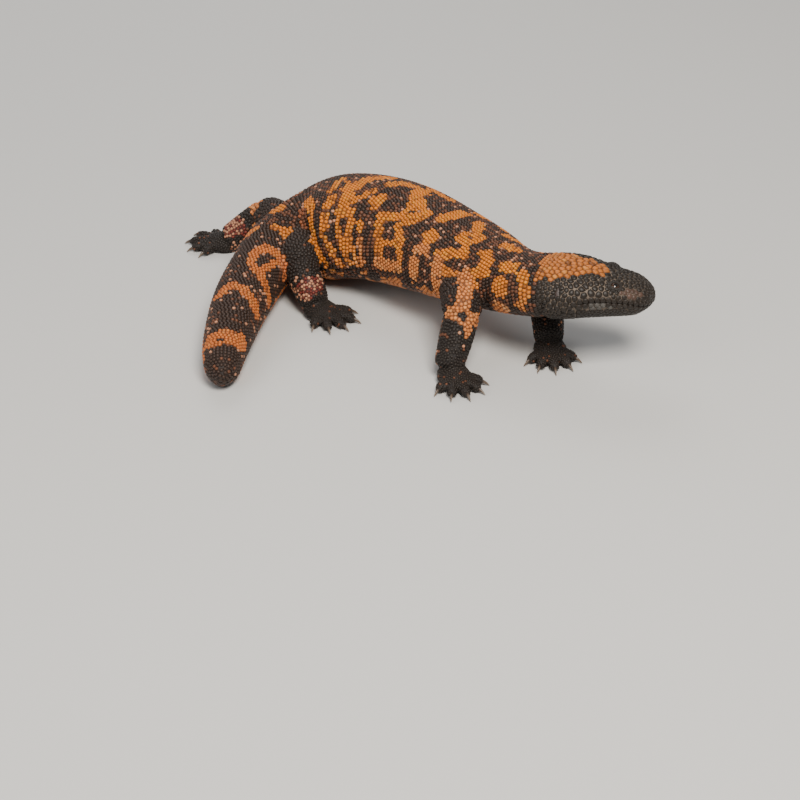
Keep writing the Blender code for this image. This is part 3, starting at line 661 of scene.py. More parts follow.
def spacing(points, where):
    """Distance from a bead to the next, mm: a smooth change along the body, finer on throat and feet."""
    belly = ramp(np.abs(where.round), 112, 130) * (where.back > 75)
    on_body = graded(where.back, BODY_STEP) + BELLY_WIDER * belly
    throat = (mouth_gap(points) < THROAT_BELOW) & (where.back < THROAT_END)
    on_body = np.where(throat, np.minimum(on_body, THROAT_STEP), on_body)
    gap = np.where(where.on_leg, graded(where.reach, LEG_STEP), on_body)
    for sign in SIDES.values():
        for landmark, reach in FINE_REACH:
            near = np.clip(distance_from(points, landmark, sign) / reach, 0, 1) ** 1.5
            gap = np.minimum(gap, FINE_STEP + (gap - FINE_STEP) * near)
    return gap


LIP_STEP, LIP_OFF = 3.3, 1.55  # length of a lip plate and distance of its middle from the line of the mouth
LIP_END, LIP_NEAR = 46.0, 0.4  # the farthest ring that has lips, and how near to the line a ring has to come
ROW_SHARE = 0.87  # distance between rows, as a share of the distance between beads


def lip_places():
    """One row of plates above and one below the mouth: the line is found on each ring of the head where its
    height crosses the mouth's, and is walked from corner to corner round the snout in even steps."""
    fine, line = np.linspace(40, 150, 441), []
    for place in np.concatenate([np.linspace(0.02, 3, 14), np.arange(3.5, LIP_END, 0.5)]):
        away = np.abs(mouth_gap(BODY.surface([place], fine, SKIN_SUNK)[0]))
        if away.min() < LIP_NEAR:
            line.append((place, fine[away.argmin()]))
    right, left = (np.array([BODY.surface([place], [sign * turn], SKIN_SUNK)[0, 0] for place, turn in line])
                   for sign in SIDES.values())
    whole = np.concatenate([right[::-1], left])
    run = run_along(whole)
    spots = walked(whole, run, np.linspace(0, run[-1], round(run[-1] / LIP_STEP) | 1))
    return np.concatenate([spots + [0, 0, LIP_OFF], spots[1:-1] - [0, 0, LIP_OFF]])


def run_along(line):
    """Length of a line of points up to each of them."""
    return np.concatenate([[0.0], np.cumsum(np.linalg.norm(np.diff(line, axis=0), axis=1))])


def walked(line, run, marks):
    """The places at these lengths along a line."""
    return np.stack([np.interp(marks, run, line[:, axis]) for axis in range(3)], axis=1)


def row_places():
    """Rows across the body behind the head, whose plates have no rows: each row's places are equally far
    apart round the ring, and every other row is turned by half a step."""
    found, place, fine = [], PLATES_END, np.linspace(-180, 180, 241)
    while place < BODY.length - 4:
        ring = BODY.surface([place], fine, SKIN_SUNK)[0]
        run = run_along(ring)
        sample = BODY.surface([place], [30.0])[0]
        step = float(spacing(sample, Where(sample))[0])
        number = max(6, round(run[-1] / step))
        marks = (np.arange(number) + 0.5 * (len(found) % 2)) / number * run[-1]
        found.append(walked(ring, run, marks))
        place += ROW_SHARE * step
    return np.concatenate(found)


def on_skin(points):
    """The nearest points of the skin."""
    return np.array([flat_skin.find_nearest(Vector(p))[0] for p in points])


# %% Places that are taken
CELL = 3.6  # edge of the boxes in which taken places are looked up, mm
AROUND = tuple(itertools.product((-1, 0, 1), repeat=3))


class Taken:
    """Places taken so far, kept by the box they lie in, so that only near ones are compared."""

    def __init__(self, points=()):
        self.points, self.boxes = [], {}
        for point in points:
            self.add(point)

    @staticmethod
    def box(point):
        return tuple(int(x // CELL) for x in point)

    def add(self, point):
        self.points.append(point)
        self.boxes.setdefault(self.box(point), []).append(point)

    def spread(self, candidates, gaps, share):
        """Takes each candidate that is at least a share of its gap away from all taken before it."""
        for point, gap in zip(candidates.tolist(), gaps.tolist()):
            x, y, z = self.box(point)
            near = (self.boxes.get((x + i, y + j, z + k), ()) for i, j, k in AROUND)
            if not any(math.dist(point, other) < gap * share for box in near for other in box):
                self.add(point)


def tree_of(points):
    """A search tree of points."""
    tree = KDTree(len(points))
    for i, point in enumerate(points.tolist()):
        tree.insert(point, i)
    tree.balance()
    return tree


def neighbours(points, number):
    """For each point, the numbers and distances of its nearest others."""
    tree = tree_of(points)
    found = [tree.find_n(point, number + 1)[1:] for point in points.tolist()]
    return np.array([[f[1] for f in row] for row in found]), np.array([[f[2] for f in row] for row in found])


# %% Setting the beads
MOUTH_SLIT, EAR_EDGE, NOSTRIL_EDGE = 0.9, 0.5, 1.5  # no bead grows nearer than this, mm
LIP_SHARE, ROW_GAP_SHARE = 0.60, 0.80  # least distance when taken, as a share of the spacing
FILLS = ((0.84, 4), (0.80, 4))  # the same share for bare skin, and the rounds of pushes after it
PUSH_REACH, PUSH = 1.05, 0.35  # neighbours nearer than this times the spacing push, by this share of the rest


def keep_out(points):
    """True where no bead grows: eyes, ear openings, nostrils and the slit of the mouth."""
    closed = np.abs(mouth_gap(points)) < MOUTH_SLIT
    for sign in SIDES.values():
        closed |= distance_from(points, EYE, sign) < LID_FOOT
        closed |= ear_oval(points, sign, EAR_EDGE) < 1
        closed |= distance_from(points, NOSTRIL, sign) < NOSTRIL_EDGE
    return closed


def pushed(places, fixed):
    """Places after one round of pushes: each neighbour that is too near pushes by a share of what is
    missing. The first ones are fixed, and none is pushed to where no bead grows."""
    near, distance = neighbours(places, 6)
    away = (places[:, None] - places[near]) / distance[..., None]
    missing = np.clip(spacing(places, Where(places))[:, None] * PUSH_REACH - distance, 0, None)
    moved = on_skin(places + (away * missing[..., None]).sum(axis=1) * PUSH)
    stays = keep_out(moved) | (np.arange(len(places)) < fixed)
    return np.where(stays[:, None], places, moved)


def bead_places():
    """Lip plates first, which stay put, then rows, then bare skin, then the pushes."""
    taken, lips = Taken(), on_skin(lip_places())
    taken.spread(lips, np.full(len(lips), LIP_STEP), LIP_SHARE)
    fixed = len(taken.points)
    rows = on_skin(row_places())
    rows = rows[~keep_out(rows)]
    taken.spread(rows, spacing(rows, Where(rows)), ROW_GAP_SHARE)
    print("lip plates:", fixed, "with the rows:", len(taken.points))
    bare = skin_points[RANDOM.permutation(len(skin_points))]
    bare = bare[~keep_out(bare)]
    bare_gap = spacing(bare, Where(bare))
    for share, rounds in FILLS:
        taken.spread(bare, bare_gap, share)
        places = np.array(taken.points)
        for _ in range(rounds):
            places = pushed(places, fixed)
        taken = Taken(places.tolist())
    print("with the bare skin filled:", len(places))
    return places, fixed


beads, LIPS = bead_places()
bead_where = Where(beads)

# %% [markdown]
# ## The shape of one bead
# A bead is a dome that has grown until it met its neighbours, so beads on the body are round on top and
# many-sided at the foot, and the broad plates of the head fit like a mosaic. In each of ten directions a
# bead therefore reaches half way to whatever neighbour is in the way. Three rings are enough when there are
# thousands. The foot lies under the skin, so no gap shows. Belly scales are flat, lip and head plates low.

# %% The outline of each bead
BEAD_SIDES = 10
BEAD_RINGS = ((1.0, -0.9, 0.0), (0.93, 0.4, 0.45), (0.62, 0.84, 0.85))  # radius, height, rise for the colour
BEAD_TILT = 0.03
BEAD_TURNS = np.arange(BEAD_SIDES) * TURN / BEAD_SIDES
LEAST_FACING = 0.25  # cosine: a neighbour farther round than this doesn't bound a bead in a direction
UNBOUNDED = 99.0
FACE_MOST, BODY_MOST, LIP_MOST = 0.88, 0.62, 0.66  # greatest radius, as a share of the spacing
FACE_CORNERS, BODY_CORNERS = 0.95, 0.60  # how much of an outline's corners stays: 0 would be round
BEAD_APART = 0.99
BEAD_VARIES = (0.95, 1.0)


def bead_frames():
    """Ahead, side and out of each bead, with a small tilt of its own."""
    tree = tree_of(skin_points)
    nearest = np.array([tree.find(point)[1] for point in beads.tolist()])
    out = unit(skin_normals[nearest] + RANDOM.normal(0, BEAD_TILT, (len(beads), 3)))
    ahead = bead_where.ahead - (bead_where.ahead * out).sum(axis=1, keepdims=True) * out
    ahead = unit(ahead + 1e-9)
    return ahead, np.cross(out, ahead), out


bead_ahead, bead_side, bead_out = bead_frames()


def bead_outlines():
    """Reach of each bead in each direction: the least of d / (2 cos a) over its neighbours, where d is a
    neighbour's distance and a the angle between it and the direction. Then a little rounder and smaller."""
    near, distance = neighbours(beads, 9)
    way = beads[near] - beads[:, None]
    bearing = np.arctan2((way * bead_side[:, None]).sum(axis=2), (way * bead_ahead[:, None]).sum(axis=2))
    facing = np.cos(BEAD_TURNS[None, :, None] - bearing[:, None])
    bound = distance[:, None] / (2 * np.maximum(facing, LEAST_FACING))
    half = np.where(facing > LEAST_FACING, bound, UNBOUNDED).min(axis=2)
    on_face = bead_where.body(end=PLATES_END)[:, None]
    most = np.where(on_face, FACE_MOST, BODY_MOST) * spacing(beads, bead_where)[:, None]
    most[:LIPS] = LIP_MOST * LIP_STEP
    half = np.minimum(half, most)
    mean = half.mean(axis=1, keepdims=True)
    apart = BEAD_APART * RANDOM.uniform(*BEAD_VARIES, (len(beads), 1))
    return (mean + np.where(on_face, FACE_CORNERS, BODY_CORNERS) * (half - mean)) * apart, mean[:, 0]


bead_reach, bead_size = bead_outlines()
print("bead radius, mm: from", bead_size.min().round(2), "to", bead_size.max().round(2))

# %% The height of each bead, and the faces of any
BODY_DOME = ((30, 0.40), (56, 0.50), (70, 0.74))  # mm from the snout, height as a share of the radius
LEG_DOME, BELLY_FLATTER = 0.66, 0.6


def bead_heights():
    """Height of each dome from its size and the part of the body."""
    belly = ramp(np.abs(bead_where.round), 108, 130) * bead_where.body(60)
    dome = np.where(bead_where.on_leg, LEG_DOME, graded(bead_where.back, BODY_DOME))
    return bead_size * dome * (1 - BELLY_FLATTER * belly)


def bead_pattern():
    """Faces of one bead, and for each of its points the ring's radius, height and rise and its direction."""
    rings = np.array(BEAD_RINGS + ((0.0, 1.0, 1.0),))
    ring = np.repeat(np.arange(4), [BEAD_SIDES] * 3 + [1])
    side = np.append(np.tile(np.arange(BEAD_SIDES), 3), 0)
    squares = ring_faces(3, BEAD_SIDES)[:, ::-1]
    last, here = 2 * BEAD_SIDES, np.arange(BEAD_SIDES)
    cap = np.stack([last + here, last + (here + 1) % BEAD_SIDES, np.full(BEAD_SIDES, 3 * BEAD_SIDES)], 1)
    return np.concatenate([squares[:, [0, 1, 2]], squares[:, [0, 2, 3]], cap]), rings[ring], side


bead_height = bead_heights()
PATTERN_FACES, PATTERN, PATTERN_SIDE = bead_pattern()
PATTERN_TURN = BEAD_TURNS[PATTERN_SIDE]
print("points of a bead:", len(PATTERN), "triangles:", len(PATTERN_FACES))

# %% [markdown]
# ## The colours of the body
# Each bead has one colour, so the edge of a mark is a jagged line of beads. The ground is near-black. Warm
# marks lie on it as blots and broad lines, some with black holes, and single pale beads dot the black. The
# marks are lines on the body, each with a half width, and a bead takes the colour of the last mark that
# reaches it. The far side, belly and tail follow the same rules with other shapes. Skin and beads ask the
# same function, so the skin between two beads always suits them.

# %% Paints and marks
GROUND = np.array([0.030, 0.0135, 0.0080])
FACE_GROUND = np.array([0.0095, 0.0072, 0.0056])
NET = np.array([0.165, 0.125, 0.092])  # the pale skin between the black plates of the face
SHARE = {"orange": 0.92, "black": 1.12}  # how the widths of some paints' marks are scaled
WARM = ("orange", "pink", "cream")  # among their beads are dark and yellow ones, and not pale or brown ones
PAINTS = {
    "orange": (0.68, 0.190, 0.006),
    "crown": (0.50, 0.148, 0.020),
    "pink": (0.64, 0.205, 0.050),
    "cream": (0.72, 0.36, 0.15),
    # dusky: the dull pinkish orange stripes at the hips, painted darker as painted shade by the thighs
    "dusky": (0.26, 0.075, 0.026),
    "face dusky": (0.066, 0.036, 0.026),
    # lip grey: painted highlight, the glints of light on the black lower lip plates as a pale grey
    "lip grey": (0.070, 0.066, 0.060),
    "shin red": (0.15, 0.018, 0.010),
    "pale bead": (0.50, 0.225, 0.125),
    "brown bead": (0.13, 0.044, 0.019),
}
MARKS = {  # half width in mm, then places as for the folds. Black marks take the ground's colour
    # dusky: hip stripes in painted shade, darker than the dull orange they are
    "dusky": (
        (2.2, (256, 12), (261, 26), (263, 40), (263, 54)),
        (2.2, (259, 75), (249, 100)), (1.6, (258, -18), (262, -40), (264, -75)),
    ),
    "face dusky": ((2.3, (14, 58), (21, 60)),),
    # lip grey: painted highlight on the lower lip plates
    "lip grey": ((1.7, (36, 98), (27, 102)),),
    "orange": (
        (4.0, (253, 12), (250, 28)), (2.9, (251, 40), (250, 60), (246, 80), (239, 97), (231, 120)),
        (3.1, (237, 45), (236, 58)), (2.3, (238, 67), (233, 77), (227, 88), (217, 108)),
        (3.6, (234, 23), (236, 34)),
        (2.6, (237, 12), (235, 2), (234, -9)), (1.5, (229, 12), (229, -3)),
        (5.0, (210, -22), (217, -12), (221, 1), (222, 16), (223, 28), (221, 39)),
        (3.2, (207, 9), (210, 17), (215, 24), (219, 30)),
        (2.8, (224, 42), (222, 57), (218, 69), (213, 80), (207, 98)),
        (2.8, (214, 41), (210, 56), (209, 69), (211, 76)), (2.2, (207, 76), (201, 87), (195, 100)),
        (5.0, (197, 53), (194, 52)), (4.8, (198, 15), (196, 27)), (4.6, (203, -5), (199, -14), (192, -17)),
        (4.1, (184, 38), (179, 54), (174, 71), (172, 91)), (4.2, (181, 36), (176, 33)),
        (3.4, (166, 42), (159, 55), (154, 73), (155, 91)), (2.0, (171, 67), (157, 60)),
        (5.3, (169, 27), (161, 27), (159, 11)), (6.6, (183, -13), (170, 8)),
        (3.8, (184, -27), (178, -30), (167, -30)), (5.4, (142, 36), (139, 38)),
        (5.4, (147, 5), (145, -16)), (6.8, (120, 16), (116, 8)), (4.2, (123, -4), (129, -15)),
        (2.6, (115, 26), (112, 38)), (3.7, (127, 54), (118, 45), (109, 40)),
        (4.8, (100, 27), (95, 39), (94, 55)), (3.6, (93, 60), (101, 68), (110, 74), (121, 75)),
        (5.4, (103, 76), (99, 88)), (4.6, (97, -6), (89, -10)), (4.9, (83, 33), (79, 29)),
        (4.0, (72, 38), (70, 53)), (7.2, (82, 79)), (3.9, (68, 70), (70, 91), (72, 106)),
        (4.6, (285, 33), (291, 40)), (3.0, (286, 6), (286, 20)), (6.6, (271, -24)),
        (4.1, (331, 5), (320, 2), (313, 13), (313, 36), (313, 53)),
        (4.0, (336, 17), (341, 38), (346, 61), (348, 92)), (2.8, (338, 27), (329, 40), (317, 52)),
        (4.5, (366, -38), (361, -24), (358, -7), (362, 18), (366, 42), (372, 68)),
        (7.4, (409, -30), (407, 6), (406, 50)),
    ),
    "pink": (
        (3.8, (192, 72), (189, 85), (195, 98)), (4.2, (174, 93), (158, 90)), (4.4, (143, 79), (143, 92)),
        (4.7, (125, 66), (125, 86), (124, 108)), (4.6, (0, 20, 10), (0, 33, 12), (0, 44, 12)),
        (4.3, (0, 44, 66), (0, 46, 13), (0, 44, -72)), (2.6, (0, 46, -10), (0, 54, -26)),
        (3.1, (314, 61), (318, 86)), (3.6, (143, 58), (140, 57)), (1.8, (135, 62), (137, 50)),
    ),
    "cream": ((3.0, (84, 110), (82, 122)),),
    "black": (
        (1.3, (217, 13), (214, 1), (209, -10)), (1.5, (218, 53), (216, 64)), (2.3, (167, 52), (165, 57)),
        (2.2, (166, 74), (165, 81)), (2.3, (166, 106), (170, 120)), (3.4, (173, -9), (171, -18)),
        (1.5, (167, 19), (164, 14)), (1.6, (178, 26)), (1.3, (119, 11)), (2.9, (116, 63), (109, 60)),
        (2.9, (105, 39), (102, 39)), (1.2, (123, 88)), (2.0, (0, 45, 14)), (2.4, (329, 20), (323, 26)),
        (1.5, (409, -7)), (2.4, (417, 30)), (4.2, (336, 66), (330, 92)),
        (3.0, (196, 40), (187, 66), (184, 88)), (2.2, (154, 42), (151, 66), (150, 90)),
    ),
}
CROWN_FRONT = 29.0
CROWN = ((CROWN_FRONT, 2), (31, 10), (34, 18), (39, 25), (47, 27), (53, 38), (62, 42), (67, 44))  # its edge
TAIL_BANDS = (300, 308, 343, 354, 373, 401, 418, 440)  # where the far side of the tail changes, mm
TAIL_FAR, TAIL_UNDER = -66.0, 110.0  # degrees round beyond which the bands go on
BELLY_EDGE, BELLY_START = 112.0, 84.0  # degrees round and mm from the snout
ROUGH, ROUGH_SIZE = 0.45, 6.0  # how far the edge of a mark wanders and over what length, mm
CROWN_ROUGH, BELLY_ROUGH, BAND_ROUGH = 5, 12, 6  # how many times as far these edges wander
BLOT_SIZE, BELLY_BLOT, THIGH_BLOT = 19.0, 0.15, 0.35  # mm, and the levels of the waves that bound the blots
THIGH_END = 0.62  # share of the way to the ankle
NECK_GREY, LEG_GREY = (74, 62), 1.4  # where the ground turns to the face's, mm, and how fast down a leg
TAIL_FADE, LOW_FADE = (280, 300), (45, 105)  # mm and degrees over which warm marks turn paler and pinker
PINKER, TAIL_PINKER = 0.55, 0.8
TAIL_REDDER = (0.14, 0.26, 0.10)  # how much darker warm marks are there, by channel


# %% The edges of marks
WAVES, WAVE_SIZES, WAVE_SUM = 9, (0.75, 1.5), 3.2  # number, sizes from and to, and what divides their sum
MIRROR_LEAST = 33  # mean degrees from the top of the marks that have one on the other side
MIRROR_BACK, MIRROR_DOWN, MIRROR_SWAY, MIRROR_SPAN = 5, 4, 4, 13  # mm, degrees, mm and mm


def waves(points, seed, size):
    """A smooth random field in space: a sum of sine waves in random directions, from about -1 to 1."""
    draw = np.random.default_rng(seed)
    total = np.zeros(len(points))
    for _ in range(WAVES):
        way = unit(draw.normal(size=3)) / (size * draw.uniform(*WAVE_SIZES))
        total += np.sin(points @ way * 2 * math.pi + draw.uniform(0, TURN))
    return total / WAVE_SUM


def mirrored(mark):
    """The same mark on the left side, a little further back and lower, so that the sides are alike and
    not the same. Only marks of the right side of neck, trunk and hips have one."""
    half, *spots = mark
    if len(spots[0]) == 3 or np.mean([spot[1] for spot in spots]) < MIRROR_LEAST or spots[0][0] > TAIL_START:
        return []
    return [(half, *[(back + MIRROR_BACK + MIRROR_SWAY * math.sin(back / MIRROR_SPAN), -turn - MIRROR_DOWN)
                     for back, turn in spots])]


# %% One function for skin and beads
def colours(points, where, draw):
    """Colour of each point: ground, then marks in order, then single beads. draw is a random number from 0
    to 1 for each point, the same for a whole bead, and 0.5 for plain skin."""
    leg_grey = np.clip(where.reach * LEG_GREY, 0, 1)
    grey = np.where(where.on_leg, leg_grey, ramp(where.back, *NECK_GREY))[:, None]
    ground = GROUND + (FACE_GROUND - GROUND) * grey
    colour, warm = ground.copy(), np.zeros(len(points), bool)
    rough = ROUGH * waves(points, 3, ROUGH_SIZE)
    for paint, marks in MARKS.items():
        for mark in marks:
            for half, *spots in [mark, *mirrored(mark)]:
                width = half * SHARE.get(paint, 1.0) + rough
                inside = line_distance(points, surface_line(spots)) < width
                colour[inside] = ground[inside] if paint == "black" else PAINTS[paint]
                warm[inside] = paint in WARM
    side, blots = np.abs(where.round), waves(points, 5, BLOT_SIZE)
    crown = where.body(CROWN_FRONT, HEAD_END) & (side < graded(where.back, CROWN) + CROWN_ROUGH * rough)
    belly = where.body(BELLY_START, TAIL_START) & (side > BELLY_EDGE + BELLY_ROUGH * rough)
    tail_far = where.body(TAIL_START) & ((where.round < TAIL_FAR) | (side > TAIL_UNDER))
    bands = np.searchsorted(TAIL_BANDS, where.back + BAND_ROUGH * rough) % 2 == 0
    left_thigh = where.on_leg & (where.leg % 2 == 1) & (where.reach < THIGH_END) & (blots > THIGH_BLOT)
    for area, paint in ((crown, "crown"), (left_thigh, "pink"), (belly, "pink"), (tail_far, "orange")):
        colour[area] = PAINTS[paint]
        warm |= area
    back_to_black = (belly & (blots > BELLY_BLOT)) | (tail_far & ~bands)
    colour[back_to_black] = ground[back_to_black]
    warm &= ~back_to_black
    tail = ramp(where.back, *TAIL_FADE) * ~where.on_leg
    low = np.maximum(ramp(side, *LOW_FADE) * ~where.on_leg, TAIL_PINKER * tail)[:, None]
    pinker = colour + PINKER * (np.array(PAINTS["pink"]) - colour) * low
    colour = np.where(warm[:, None], pinker * (1 - np.outer(tail, TAIL_REDDER)), colour)
    return single_beads(points, where, draw, colour, warm)


SHANK, SHIN = (0.66, 1.02), (0.80, 1.05)  # from and to, as shares of the way to the wrist or ankle
SHIN_FRONT, SHIN_HALF = 15, 50  # degrees round the leg
PALE_SHIN, PALE_HIND, PALE_FRONT, PALE_TRUNK, PALE_MOST = 0.47, 0.30, 0.05, 0.05, 0.49  # shares of the beads
PALE_SWAY, PALE_SIZE = 0.8, 12.0  # how much that share wanders and over what length, mm
BROWN_LEG, BROWN_TRUNK, BROWN_TAIL, TRUNK_END = 0.05, 0.34, 0.12, 285
DARK_SHARE, DARKER = 0.05, 0.42
YELLOW_FROM, YELLOWER = 0.84, (1.06, 1.28, 1.6)


def single_beads(points, where, draw, colour, warm):
    """Recolours a share of the beads one by one: pale or brown ones in the black, dark or yellow ones in a
    warm mark. On the shanks pale beads stand close together, and the hind shins are red between them."""
    trunk, hind = where.body(PLATES_END), where.leg >= 2
    shank = where.on_leg & (where.reach > SHANK[0]) & (where.reach < SHANK[1])
    on_front = np.abs(where.turn - SHIN_FRONT) < SHIN_HALF
    shin = hind & (where.reach > SHIN[0]) & (where.reach < SHIN[1]) & on_front
    speckled = np.where(shank, np.where(hind, PALE_HIND, PALE_FRONT), 0)
    pale = np.where(trunk, PALE_TRUNK, 0.0) + speckled * (1 + PALE_SWAY * waves(points, 8, PALE_SIZE))
    pale = np.clip(np.where(shin, PALE_SHIN, pale), 0, PALE_MOST)
    parts = (where.on_leg, BROWN_LEG), (~trunk, 0.0), (where.back < TRUNK_END, BROWN_TRUNK)
    brown = np.select([part for part, _ in parts], [share for _, share in parts], BROWN_TAIL)
    changed = colour.copy()
    for few, paint in ((shin, "shin red"), (draw < pale, "pale bead"), (draw > 1 - brown, "brown bead")):
        changed[~warm & few] = PAINTS[paint]
    changed[warm & (draw < DARK_SHARE)] *= DARKER
    changed[warm & (draw > YELLOW_FROM)] *= YELLOWER
    return changed


NET_BACK = ((0, 0.35), (10, 0.5), (26, 1), (56, 1), (64, 0))  # mm from the snout, share of the net's colour
BLACKEST = 0.12  # the most red that a black plate has


def net_share(points, where, colour):
    """1 where the pale net shows between black plates, 0 behind the face, under the jaw and at the lips."""
    gap = mouth_gap(points)
    share = graded(where.back, NET_BACK) * ~where.on_leg * (colour[:, 0] < BLACKEST)
    return (share * ramp(gap, -10, -4) * ramp(np.abs(gap), 0.5, 5.0))[:, None]


# %% [markdown]
# ## Shader maths as plain expressions
# A small class wraps a socket, so that 0.3 + 0.2 * grain adds the two Math nodes by itself.

# %% Shader tools
class Value:
    """A socket in a material's node tree, with + and * written as Python."""

    def __init__(self, finish, socket):
        self.finish, self.socket = finish, socket

    def __add__(self, other):
        return self.finish.node("ShaderNodeMath", {"operation": "ADD"}, self, other)

    def __mul__(self, other):
        return self.finish.node("ShaderNodeMath", {"operation": "MULTIPLY"}, self, other)

    __radd__, __rmul__ = __add__, __mul__


class Finish:
    """A material, its Principled shader and the methods that add other nodes."""

    def __init__(self, name, **sockets):
        self.material = bpy.data.materials.new(name)
        self.material.use_nodes = True
        self.tree = self.material.node_tree
        self.shader = self.tree.nodes["Principled BSDF"]
        self.done(**sockets)

    def done(self, **sockets):
        """Sets or links sockets of the shader, with _ for a space in a name, and gives back the material."""
        self.put(self.shader, sockets)
        return self.material

    def put(self, node, sockets):
        """Sets or links sockets by name or number."""
        for key, value in sockets.items():
            target = node.inputs[key.replace("_", " ") if isinstance(key, str) else key]
            if isinstance(value, Value):
                self.tree.links.new(value.socket, target)
            else:
                target.default_value = value

    def node(self, kind, settings, *values, output=0, **sockets):
        """Adds a node: settings first, then sockets in order, then sockets by name. Gives back one output."""
        made = self.tree.nodes.new(kind)
        for key, value in settings.items():
            setattr(made, key, value)
        self.put(made, dict(enumerate(values)))
        self.put(made, sockets)
        return Value(self, made.outputs[output])

    def mix(self, factor, first, second):
        """Colour between two colours. A colour given as three numbers gets its fourth here."""
        made = self.tree.nodes.new("ShaderNodeMix")
        made.data_type = "RGBA"
        first, second = ((*one, 1.0) if isinstance(one, tuple) else one for one in (first, second))
        self.put(made, {0: factor, 6: first, 7: second})
        return Value(self, made.outputs[2])

    def attribute(self, name, output="Color"):
        return self.node("ShaderNodeAttribute", {"attribute_name": name}, output=output)

    def noise(self, scale, detail=2.0, roughness=0.5):
        """Blender's noise on the object's own coordinates."""
        sockets = {"Scale": scale, "Detail": detail, "Roughness": roughness}
        place = self.node("ShaderNodeTexCoord", {}, output="Object")
        return self.node("ShaderNodeTexNoise", {}, Vector=place, **sockets)


def bead_finish():
    """Satin beads: each point's own colour, with thin dust in clouds on the tops."""
    made = Finish("beads", Specular_IOR_Level=0.3)
    grain, cloud = made.noise(1400.0), made.noise(60.0, 4.0, 0.6)
    dust = 0.05 * cloud * made.attribute("rise", "Fac")
    return made.done(Base_Color=made.mix(dust, made.attribute("tone"), (0.50, 0.36, 0.26)),
                     Roughness=0.30 + 0.16 * grain + 0.14 * cloud)


def skin_finish():
    """The thin skin between the beads: dull, and darker than the colour round it except on the face."""
    made = Finish("skin_between", Roughness=0.7)
    grain = 0.35 * made.noise(900.0, 3.0)
    return made.done(Base_Color=made.mix(grain, made.attribute("tone"), (0.05, 0.03, 0.022)))


# %% [markdown]
# ## A chart of the skin
# The finish of thousands of beads can be kept in one picture only if each bead has a place of its own in it.
# Unwrapping each bead by itself would scatter them, so the skin is charted like a globe: length along the
# back one way and angle round it the other, a strip for each leg, and feet from above and from below. Each
# bead is a small patch at its root's place on that chart.

# %% The chart
PATCH = 0.0015  # half width of a bead's patch
PATCH_RINGS = np.array([1.0, 0.75, 0.4, 0.0])
LEG_LONG, FOOT_HALF = 62.0, 30.0  # length of a leg's strip without the foot and half of a foot's view, mm
BODY_STRIP = (0.02, 0.96, 0.645, 0.67)  # left end, width, middle and height
LEG_STRIP, FOOT_VIEW = (0.01, 0.13, 0.15, 0.26), (0.20, 0.095, 0.08, 0.12)
NEXT_LEG, VIEW_UP = 0.25, 0.14  # from leg to leg, and from the view of a foot from below to that from above


def strip(place, along, across):
    """Left + width x along and middle + height x across."""
    left, wide, middle, high = place
    return np.stack([left + wide * along, middle + high * across], axis=-1)


def chart(points, back, turned, leg, down, turn, foot, top):
    """Place on the chart from 0 to 1: body above, below it four strips, each with two views of a foot."""
    body = strip(BODY_STRIP, back / BODY.length, turned / 360)
    limb = strip(LEG_STRIP, np.clip(down / LEG_LONG, 0, 1), turn / 360)
    palms, ways = (np.array(each)[leg] for each in zip(*[(piece.palm, piece.facing) for piece in ALL_LEGS]))
    arm = (points - palms) / (2 * FOOT_HALF)
    along, across = (arm * ways).sum(axis=-1), arm[..., 1] * ways[..., 0] - arm[..., 0] * ways[..., 1]
    view = strip(FOOT_VIEW, np.clip(along, -0.5, 0.5), np.clip(across, -0.5, 0.5))
    view[..., 1] += VIEW_UP * top
    on_leg = np.where(foot[..., None], view, limb)
    on_leg[..., 0] += NEXT_LEG * leg
    return np.where((leg < 0)[..., None], body, on_leg)


def root_chart(places, where, leg, out):
    """The chart's places of the roots of beads."""
    return chart(places, where.back, where.round, leg, where.down, where.turn, where.is_foot, out[:, 2] > 0)


def skin_chart(faces, where, points, outward):
    """The chart for each corner of each face. A face takes the region of its first corner, and angles are
    counted on from that corner's, so that no face spans the chart where the angle jumps."""
    first = faces[:, :1]
    body = (where.leg[faces] < 0).any(axis=1)
    leg = np.where(body, -1, where.leg[faces[:, 0]])[:, None].repeat(4, axis=1)
    on = [turn[first] + (turn[faces] - turn[first] + 180) % 360 - 180 for turn in (where.round, where.turn)]
    foot, top = (flag[first].repeat(4, axis=1) for flag in (where.is_foot, outward[:, 2] > 0))
    return chart(points[faces], where.back[faces], on[0], leg, where.down[faces], on[1], foot, top)


def bake_map(piece, places):
    """A UV map named OFBake, one place for each corner of each face."""
    layer = piece.data.uv_layers.new(name="OFBake")
    layer.data.foreach_set("uv", places.reshape(-1, 2).astype(np.float32).ravel())


# %% Skin and beads as pieces
SKIN_DARK = 0.3  # the skin's colour as a share of that of the beads round it
# A bead's root is painted darker than its top: painted shade in the seams between the beads.
FOOT_DARK, FOOT_LEAST = 0.16, np.array([0.006, 0.002, 0.001])  # the same for a bead's root, and what is added
BEAD_LIGHT = (0.80, 1.16)  # how light beads of one colour are, from and to
NET_STEEPER = 2.2  # how much sooner the net's colour ends on a bead


def tint(piece, colour):
    """Stores a colour for each point."""
    layer = piece.data.color_attributes.new("tone", "FLOAT_COLOR", "POINT")
    whole = np.column_stack([colour, np.ones(len(colour))])
    layer.data.foreach_set("color", whole.astype(np.float32).ravel())


def number_layer(piece, name, values):
    """Stores a number for each point."""
    layer = piece.data.attributes.new(name, "FLOAT", "POINT")
    layer.data.foreach_set("value", values.astype(np.float32))


def carried(piece, slot, material, *nodes):
    """Gives a piece its finish, its body and the fixed parts that it stands for. The slot is not used."""
    piece.data.materials.append(material)
    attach(piece, "root")
    if nodes:
        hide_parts(*nodes)


def skin_colours():
    """The marks, darkened. On the face the skin is a pale grey net between black beads."""
    colour = colours(skin_points, skin_where, np.full(len(skin_points), 0.5))
    dark = colour * SKIN_DARK
    return dark + (NET - dark) * net_share(skin_points, skin_where, colour)


